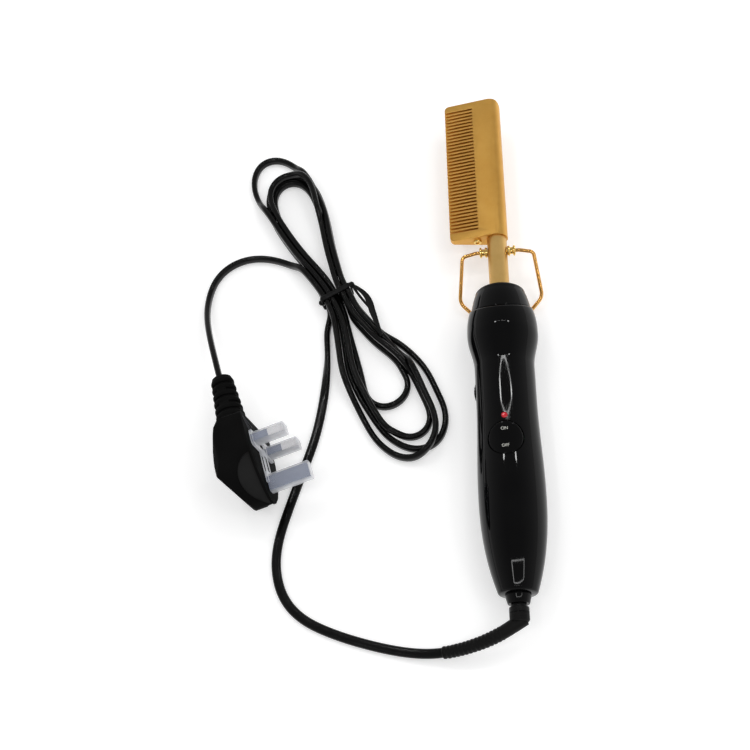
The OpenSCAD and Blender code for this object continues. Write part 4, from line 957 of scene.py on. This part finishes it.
def boot():
    """The moulded boot: a round head against the swivel, a plain elbow and ribs to its free end."""
    step = 0.3
    path = resampled(BOOT[1:], step)
    n = len(path) - 1
    long = step * n

    def half(i):
        s = step * i
        u = s / long
        r = lerp(3.55, 3.0, u)
        if u > 0.3:
            w = (long - s) % 2.2
            r += 0.28 * fade(max(0, min(1, (abs(w - 1.1) - 0.5) / 0.35))) - 0.1
        if i == 0 or i == n:
            r -= 0.3
        return circle(r, 20)

    tube = sweep("boot_tube", path + TAIL, half)
    tube.data.transform(TOOL.inverted() @ WORLD)
    head = lathe("boot_head", rounded([(0.2, 204.75), (5.0, 204.75), (5.0, 209.15), (0.2, 209.15)],
                                      [0, 0.3, 1.3, 0], 6), 64)
    return joined("cord_boot_ribbed", head, tube)


put(boot(), TOOL, "black_rubber", "tool", ("cord_boot",), sharp=50)

# ---------- Tie ----------


def bulge(a, b, sag):
    """Points from a to b that bow sideways by sag."""
    a, b = np.array(a, float), np.array(b, float)
    d = b - a
    side = np.array([d[1], -d[0], 0]) / np.linalg.norm(d[:2])
    return [a + d * t + side * sag * math.sin(math.pi * t) for t in np.linspace(0, 1, 6)]


def strap_rows(w, t):
    return rounded(box(w / 2, t / 2), t * 0.45, 3)


def loop_strap(name, centre, turn, half, low, high, w, t):
    """A flat strap wound round a bundle, with its width along the strands."""
    ring = rounded([(-half, low), (half, low), (half, high), (-half, high)], 1.5, 6)
    rows = []
    c, s = math.cos(turn), math.sin(turn)
    m = len(ring)
    for i in range(m):
        q, nxt, prv = np.array(ring[i]), np.array(ring[(i + 1) % m]), np.array(ring[i - 1])
        d = (nxt - prv) / np.linalg.norm(nxt - prv)
        out = np.array([d[1], -d[0]])
        row = []
        for a, b in strap_rows(w, t):
            u, z = q + out * b
            row.append((centre[0] + u * c - a * s, centre[1] + u * s + a * c, z))
        rows.append(row)
    return solid(name, *grid(rows, close=True))


def tie():
    """A rubber tie: its band, two end knobs, and a loose tail that lies back on the strands."""
    c, s = math.cos(TIE_TURN), math.sin(TIE_TURN)
    parts = [loop_strap("band", TIE_AT, TIE_TURN, 9.45, 0.4, 10.8, 3.0, 0.8)]
    knobs = [(TIE_AT[0] + shift * c, TIE_AT[1] + shift * s, z)
             for shift, z in ((-9.6, 7.2), (10.2, 9.4))]
    for x, y, z in knobs:
        rows = []
        for lat in np.linspace(-math.pi / 2, math.pi / 2, 9):
            ring = circle(1.75 * math.cos(lat) + 0.02, 20, x, y)
            rows.append([(u, v, z + 1.6 * math.sin(lat)) for u, v in ring])
        parts.append(capped("knob", rows))
    knot, foot = knobs[1], (-72.2, 178.6, 11.2)
    end = [(-69.8, 171, 11.4), (-67.2, 162.5, 10.4)]
    tail = resampled(bulge(knot, foot, -2.6) + end, 0.8)
    wide = [lerp(1.0, 1.9, fade(abs(2 * i / (len(tail) - 1) - 1))) for i in range(len(tail))]
    parts.append(sweep("tail", tail, lambda i: strap_rows(2 * wide[i], 0.7)))
    back = resampled(bulge(knot, foot, 0.4), 0.8)
    parts.append(sweep("back", back, lambda i: strap_rows(1.5, 0.7)))
    return joined("rubber_tie", *parts)


put(tie(), WORLD_TAIL, "black_matte", "tool", ("cord_tie",), sharp=50)

# ---------- Plug ----------

PIN_Z, EARTH_Y = 11.1, -22.2
# The pins' length, and their size along y and z
LIVE_SIZE, EARTH_SIZE = (17.7, 4, 6.35), (22.7, 8, 4)
PLUG_END = 13.5


def finish_and_painted_highlight(obj):
    """Gives an object the plug's three looks: plain, a lighter grey on the finger grips, and a pale
    grey painted highlight for the lines on the face.
    """
    obj.data.materials.clear()
    for look in ("plug_black", "plug_grip", "plug_painted_highlight"):
        obj.data.materials.append(LOOKS[look])


def grip(side, outline):
    """What a finger grip takes off one flank: a round hollow that is deepest at the face."""
    rows = [[(x, y, z - math.copysign(min(abs(z), drop), z)) for y, z in outline]
            for x, drop in ((-13, 0.1), (2, 1.6))]
    inner = capped("inner", rows)
    hollow = disc("hollow", 11.5, 0 if side > 0 else -30, 30 if side > 0 else 0, (0.5, -21.5), n=72)
    cut(hollow, block("face_edge", (-1.3, -40, -40), (20, 20, 40)))
    return cut(hollow, inner)


def inset(body, hollow, finish):
    """Cuts a hollow whose faces take one of the plug's three looks."""
    finish_and_painted_highlight(hollow)
    for poly in hollow.data.polygons:
        poly.material_index = finish
    return cut(body, hollow)


def plug_housing():
    """The moulded body: its outlines from the side, from the cord end and from the face meet."""
    half_w, depth, end, earth = 23.3, 22.0, PLUG_END, 32.9
    long = end + earth
    side = ((0, 0), (0.6, 0), (0.75, 0.086), (0.92, 0.334), (1, 0.517), (0.99, 0.636), (0.61, 0.925),
            (0.47, 1), (0, 1))
    side = [(-x * depth, end - y * long) for x, y in side]
    slope = math.tan(math.radians(6.8))
    back = half_w - depth * slope
    ex = -0.8 * depth
    ez = half_w + ex * slope
    section = [(0, half_w), (ex, ez), (-depth, back - 3.5), (-depth, 3.5 - back), (ex, -ez),
               (0, -half_w)]
    half = ((1, 0.356), (0.88, 0.537), (0.695, 0.72), (0.472, 0.871), (0.215, 0.972))
    half = [(x * half_w, end - y * long) for x, y in half]
    r = 3.0
    face = [(half_w - r + r * math.cos(a), end - r + r * math.sin(a))
            for a in np.linspace(0, math.pi / 2, 7)]
    face += [(-x, y) for x, y in face[::-1]] + [(-x, y) for x, y in half] + [(0, -earth)] + half[::-1]
    body = prism("plug_housing", rounded(side, [0, 2, 2, 3, 3, 3, 3, 2, 0], 3), -30, 30, "xyz")
    across = prism("across", rounded(section, [0, 2, 2.5, 2.5, 2, 0], 3), -40, 20, "xzy")
    cut(body, across, "INTERSECT")
    cut(body, prism("front", [(y, z) for z, y in face], -depth - 1, 1, "yzx"), "INTERSECT")
    cut(body, block("face", (0, -40, -30), (5, 20, 30)))
    body = bevelled(body, 0.8, 3, 25)
    finish_and_painted_highlight(body)
    cut(body, block("fuse_pocket", (-12, -10.4 - 4.35, -13.85), (1, -10.4 + 4.35, 13.85)))
    middle = Matrix.Translation(Vector((0, 11.2, 21.5)))
    # Three lines on the pin face, whose faces take the pale grey painted highlight
    for turn in (7, 20, 34):
        groove = block("groove", (-0.8, -0.55, -15), (1, 0.55, -1.5))
        groove.data.transform(middle @ Matrix.Rotation(math.radians(-turn), 4, "X"))
        inset(body, groove, 2)
    for side in (1, -1):
        inset(body, grip(side, [(y, z) for z, y in face]), 1)
    return body


put(plug_housing(), PLUG, "plug_black", "tool", ("plug_body",), sharp=40)


def relief():
    """A tapered sleeve with seven moulded rings, and slots between them with two bridges each."""
    rows, n, rings = [], 48, 7
    prof = [(8.5, -1.0), (8.45, 0.5)]
    slots = {}
    for i in range(1, rings + 1):
        u = i / (rings + 1)
        y = 34 * u
        r = lerp(8.2, 5.6, u) + 0.15
        prof += [(r, y - 0.35), (r + 0.08, y - 0.1), (r + 0.25, y + 0.2), (r + 0.32, y + 0.6),
                 (r + 0.3, y + 1.3), (r + 0.2, y + 1.7), (r - 0.02, y + 2.0)]
        if i < rings:
            slots[len(prof)] = slots[len(prof) + 1] = i
            prof += [(r - 0.05, y + 2.1), (r - 0.2, y + 3.7)]
    prof += [(5.6, 33.1), (5.4, 33.7), (5.0, 34.0), (1.5, 34.0)]
    for j, (r, y) in enumerate(prof):
        radii = [r] * n
        for k in range(n):
            # The bridges turn by a quarter from one slot to the next
            if j in slots and abs(math.cos(2 * math.pi * k / n + slots[j] * math.pi / 2)) < 0.9:
                radii[k] = r - 1.0
        rows.append([(x, PLUG_END + y, z) for x, z in turned(radii, -11.8)])
    return capped("relief_sleeve", rows)


put(relief(), PLUG, "plug_black", "tool", ("plug_relief",), sharp=50)


def pin(name, low, high, size_y, size_z, y, z, taper):
    """A flat pin whose tip is bevelled on all four sides."""
    rows = []
    tip = ((high - taper, 0), (high - taper * 0.3, taper * 0.42), (high, taper * 0.75))
    for x, less in ((low, 0), *tip):
        outline = rounded(box(size_y / 2 - less, size_z / 2 - less), 0.5, 3)
        rows.append([(x, y + p[0], z + p[1]) for p in outline])
    return capped(name, rows)


for side, word_of in ((1, "live"), (-1, "neutral")):
    blade = pin(word_of + "_blade", -8, *LIVE_SIZE, 0, side * PIN_Z, 1.1)
    put(blade, PLUG, "pin_metal", "tool", (word_of + "_pin",))
    sleeve = pin(word_of + "_sleeve", -0.55, 9.5, 4.06, 6.41, 0, side * PIN_Z, 0.2)
    put(sleeve, PLUG, "pin_grey", "tool", (word_of + "_pin_sleeve",))
earth_blade = pin("earth_blade", -8, *EARTH_SIZE, EARTH_Y, 0, 1.3)
put(earth_blade, PLUG, "pin_grey", "tool", ("earth_pin",))


def cover():
    """One clear moulding: three sleeves on a thin web with windows."""
    w, g = 0.7, 0.13

    def sleeve(length, size_y, size_z, y, z, grow):
        outline = box(size_y / 2 + g + grow, size_z / 2 + g + grow, y, z)
        low = 0 if grow else -1
        o = prism("sleeve", rounded(outline, 0.8 if grow else 0.4, 3), low, length + g + grow, "yzx")
        return bevelled(o, 0.5, 2, 60) if grow else o

    spots = [(*LIVE_SIZE, 0, PIN_Z), (*LIVE_SIZE, 0, -PIN_Z), (*EARTH_SIZE, EARTH_Y, 0)]
    body = prism("clear_cover", rounded(box(4.5, 16.1), 2, 4), 0, 1.2, "yzx")
    cut(body, prism("stem", box(-EARTH_Y / 2, 4.5, EARTH_Y / 2), 0, 1.2, "yzx"), "UNION")
    for p in spots:
        cut(body, sleeve(*p, w), "UNION")
    for p in spots:
        cut(body, sleeve(*p, 0))
    gap = 2 * PIN_Z - LIVE_SIZE[2] - 6
    for window in (box(2.2, gap / 2), box(4.5, 2.3, 0.6 + EARTH_Y / 2)):
        cut(body, prism("window", rounded(window, 0.5, 2), -1, 3, "yzx"))
    body.data.transform(Matrix.Translation(Vector((0.1, 0, 0))))
    return body


put(cover(), PLUG, "clear_cover", "cover", ("pin_cover",), sharp=40)

# ---------- Stage ----------


def look_camera():
    """The camera, whose place, turn and lens were fitted to the photo."""
    az, el, roll = math.radians(-16.286), math.radians(62.534), math.radians(-18.771)
    v = Vector((math.sin(az) * math.cos(el), math.cos(az) * math.cos(el), -math.sin(el)))
    r = Vector((math.cos(az), -math.sin(az), 0))
    u = r.cross(v)
    right = r * math.cos(roll) + u * math.sin(roll)
    up = -r * math.sin(roll) + u * math.cos(roll)
    data = bpy.data.cameras.new("camera")
    data.lens, data.sensor_width, data.sensor_fit = 60.651, 36.0, "HORIZONTAL"
    data.clip_start, data.clip_end = 0.01, 20
    cam = linked("camera", data)
    m = Matrix((right, up, -v)).transposed().to_4x4()
    m.translation = Vector((0.019735, -0.320968, 0.625568))
    cam.matrix_world = m
    bpy.context.scene.camera = cam


def floor():
    mesh = bpy.data.meshes.new("floor")
    mesh.from_pydata([(x, y, 0) for x, y in box(4.0, 4.0)], [], [(0, 1, 2, 3)])
    obj = linked("floor", mesh)
    n = new_look("floor")
    path = n.add("ShaderNodeLightPath").outputs
    seen = n.math("MAXIMUM", path["Is Camera Ray"], path["Is Glossy Ray"])
    seen = n.math("MAXIMUM", seen, path["Is Transmission Ray"])
    diffuse = n.add("ShaderNodeBsdfDiffuse", {"Color": rgb(0.8, 0.8, 0.8)})
    # The far floor, which the lamps don't reach, is as white as the floor by the object
    away = n.add("ShaderNodeVectorMath", {0: n.coords}, operation="LENGTH").outputs["Value"]
    shine = n.math("MULTIPLY", seen, n.span(away, 0.37, 0.7, 0.6, 1.8))
    glow = n.add("ShaderNodeEmission", {"Color": rgb(1, 1, 1), "Strength": shine})
    both = n.add("ShaderNodeAddShader", {0: diffuse.outputs[0], 1: glow.outputs[0]})
    mesh.materials.append(n.surface(both))


def world():
    """A studio with bright walls and a dim ceiling, which the camera sees as white."""
    studio = bpy.data.worlds.new("world")
    bpy.context.scene.world = studio
    n = Nodes(studio, "ShaderNodeOutputWorld")
    height = n.add("ShaderNodeSeparateXYZ", {0: n.places["Generated"]}).outputs["Z"]
    walls = n.span(height, 0.74, 0.33, 0.15, 0.9)
    seen = n.add("ShaderNodeLightPath").outputs["Is Camera Ray"]
    strength = n.span(seen, walls, 1.0, 0.0, 1.0)
    n.surface(n.add("ShaderNodeBackground", {"Color": rgb(1, 1, 1), "Strength": strength}))


def lamp(name, place, target, size, power, glossy=True):
    data = bpy.data.lights.new(name, "AREA")
    data.shape, data.size, data.size_y, data.energy = "RECTANGLE", size[0], size[1], power
    obj = linked(name, data)
    obj.location = place
    obj.rotation_euler = (Vector(target) - Vector(place)).to_track_quat("-Z", "Y").to_euler()
    obj.visible_glossy = glossy


look_camera()
floor()
world()
lamp("key", (0.75, 0.1, 1.2), (-0.05, 0, 0), (1.2, 1.2), 5, glossy=False)
lamp("fill", (-0.8, 0.5, 1.1), (-0.05, 0, 0), (1.3, 1.3), 3, glossy=False)


def frame_light(name, x, y, side, end, radiance, ends):
    """Slim lamps high over the floor that draw a rectangle's sides and ends on the gloss."""
    z = 1.5
    strips = [((v, (y[0] + y[1]) / 2, z), (side, y[1] - y[0])) for v in x]
    strips += [(((x[0] + x[1]) / 2, v, z), (x[1] - x[0], end)) for v in ends]
    for k, (spot, size) in enumerate(strips):
        power = 4 * radiance * size[0] * size[1]
        lamp("%s_%d" % (name, k), spot, (spot[0], spot[1], 0), size, power)


frame_light("back_frame", (-0.5, 0.6), (0.6, 0.655), 0.12, 0.005, 45, (0.655,))
frame_light("top_frame", (-0.45, 1.0), (-0.7, -0.4), 0.1, 0.02, 12, (-0.7, -0.4))
bpy.context.scene.view_settings.view_transform = "Standard"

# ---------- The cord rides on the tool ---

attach(cord, "tool")
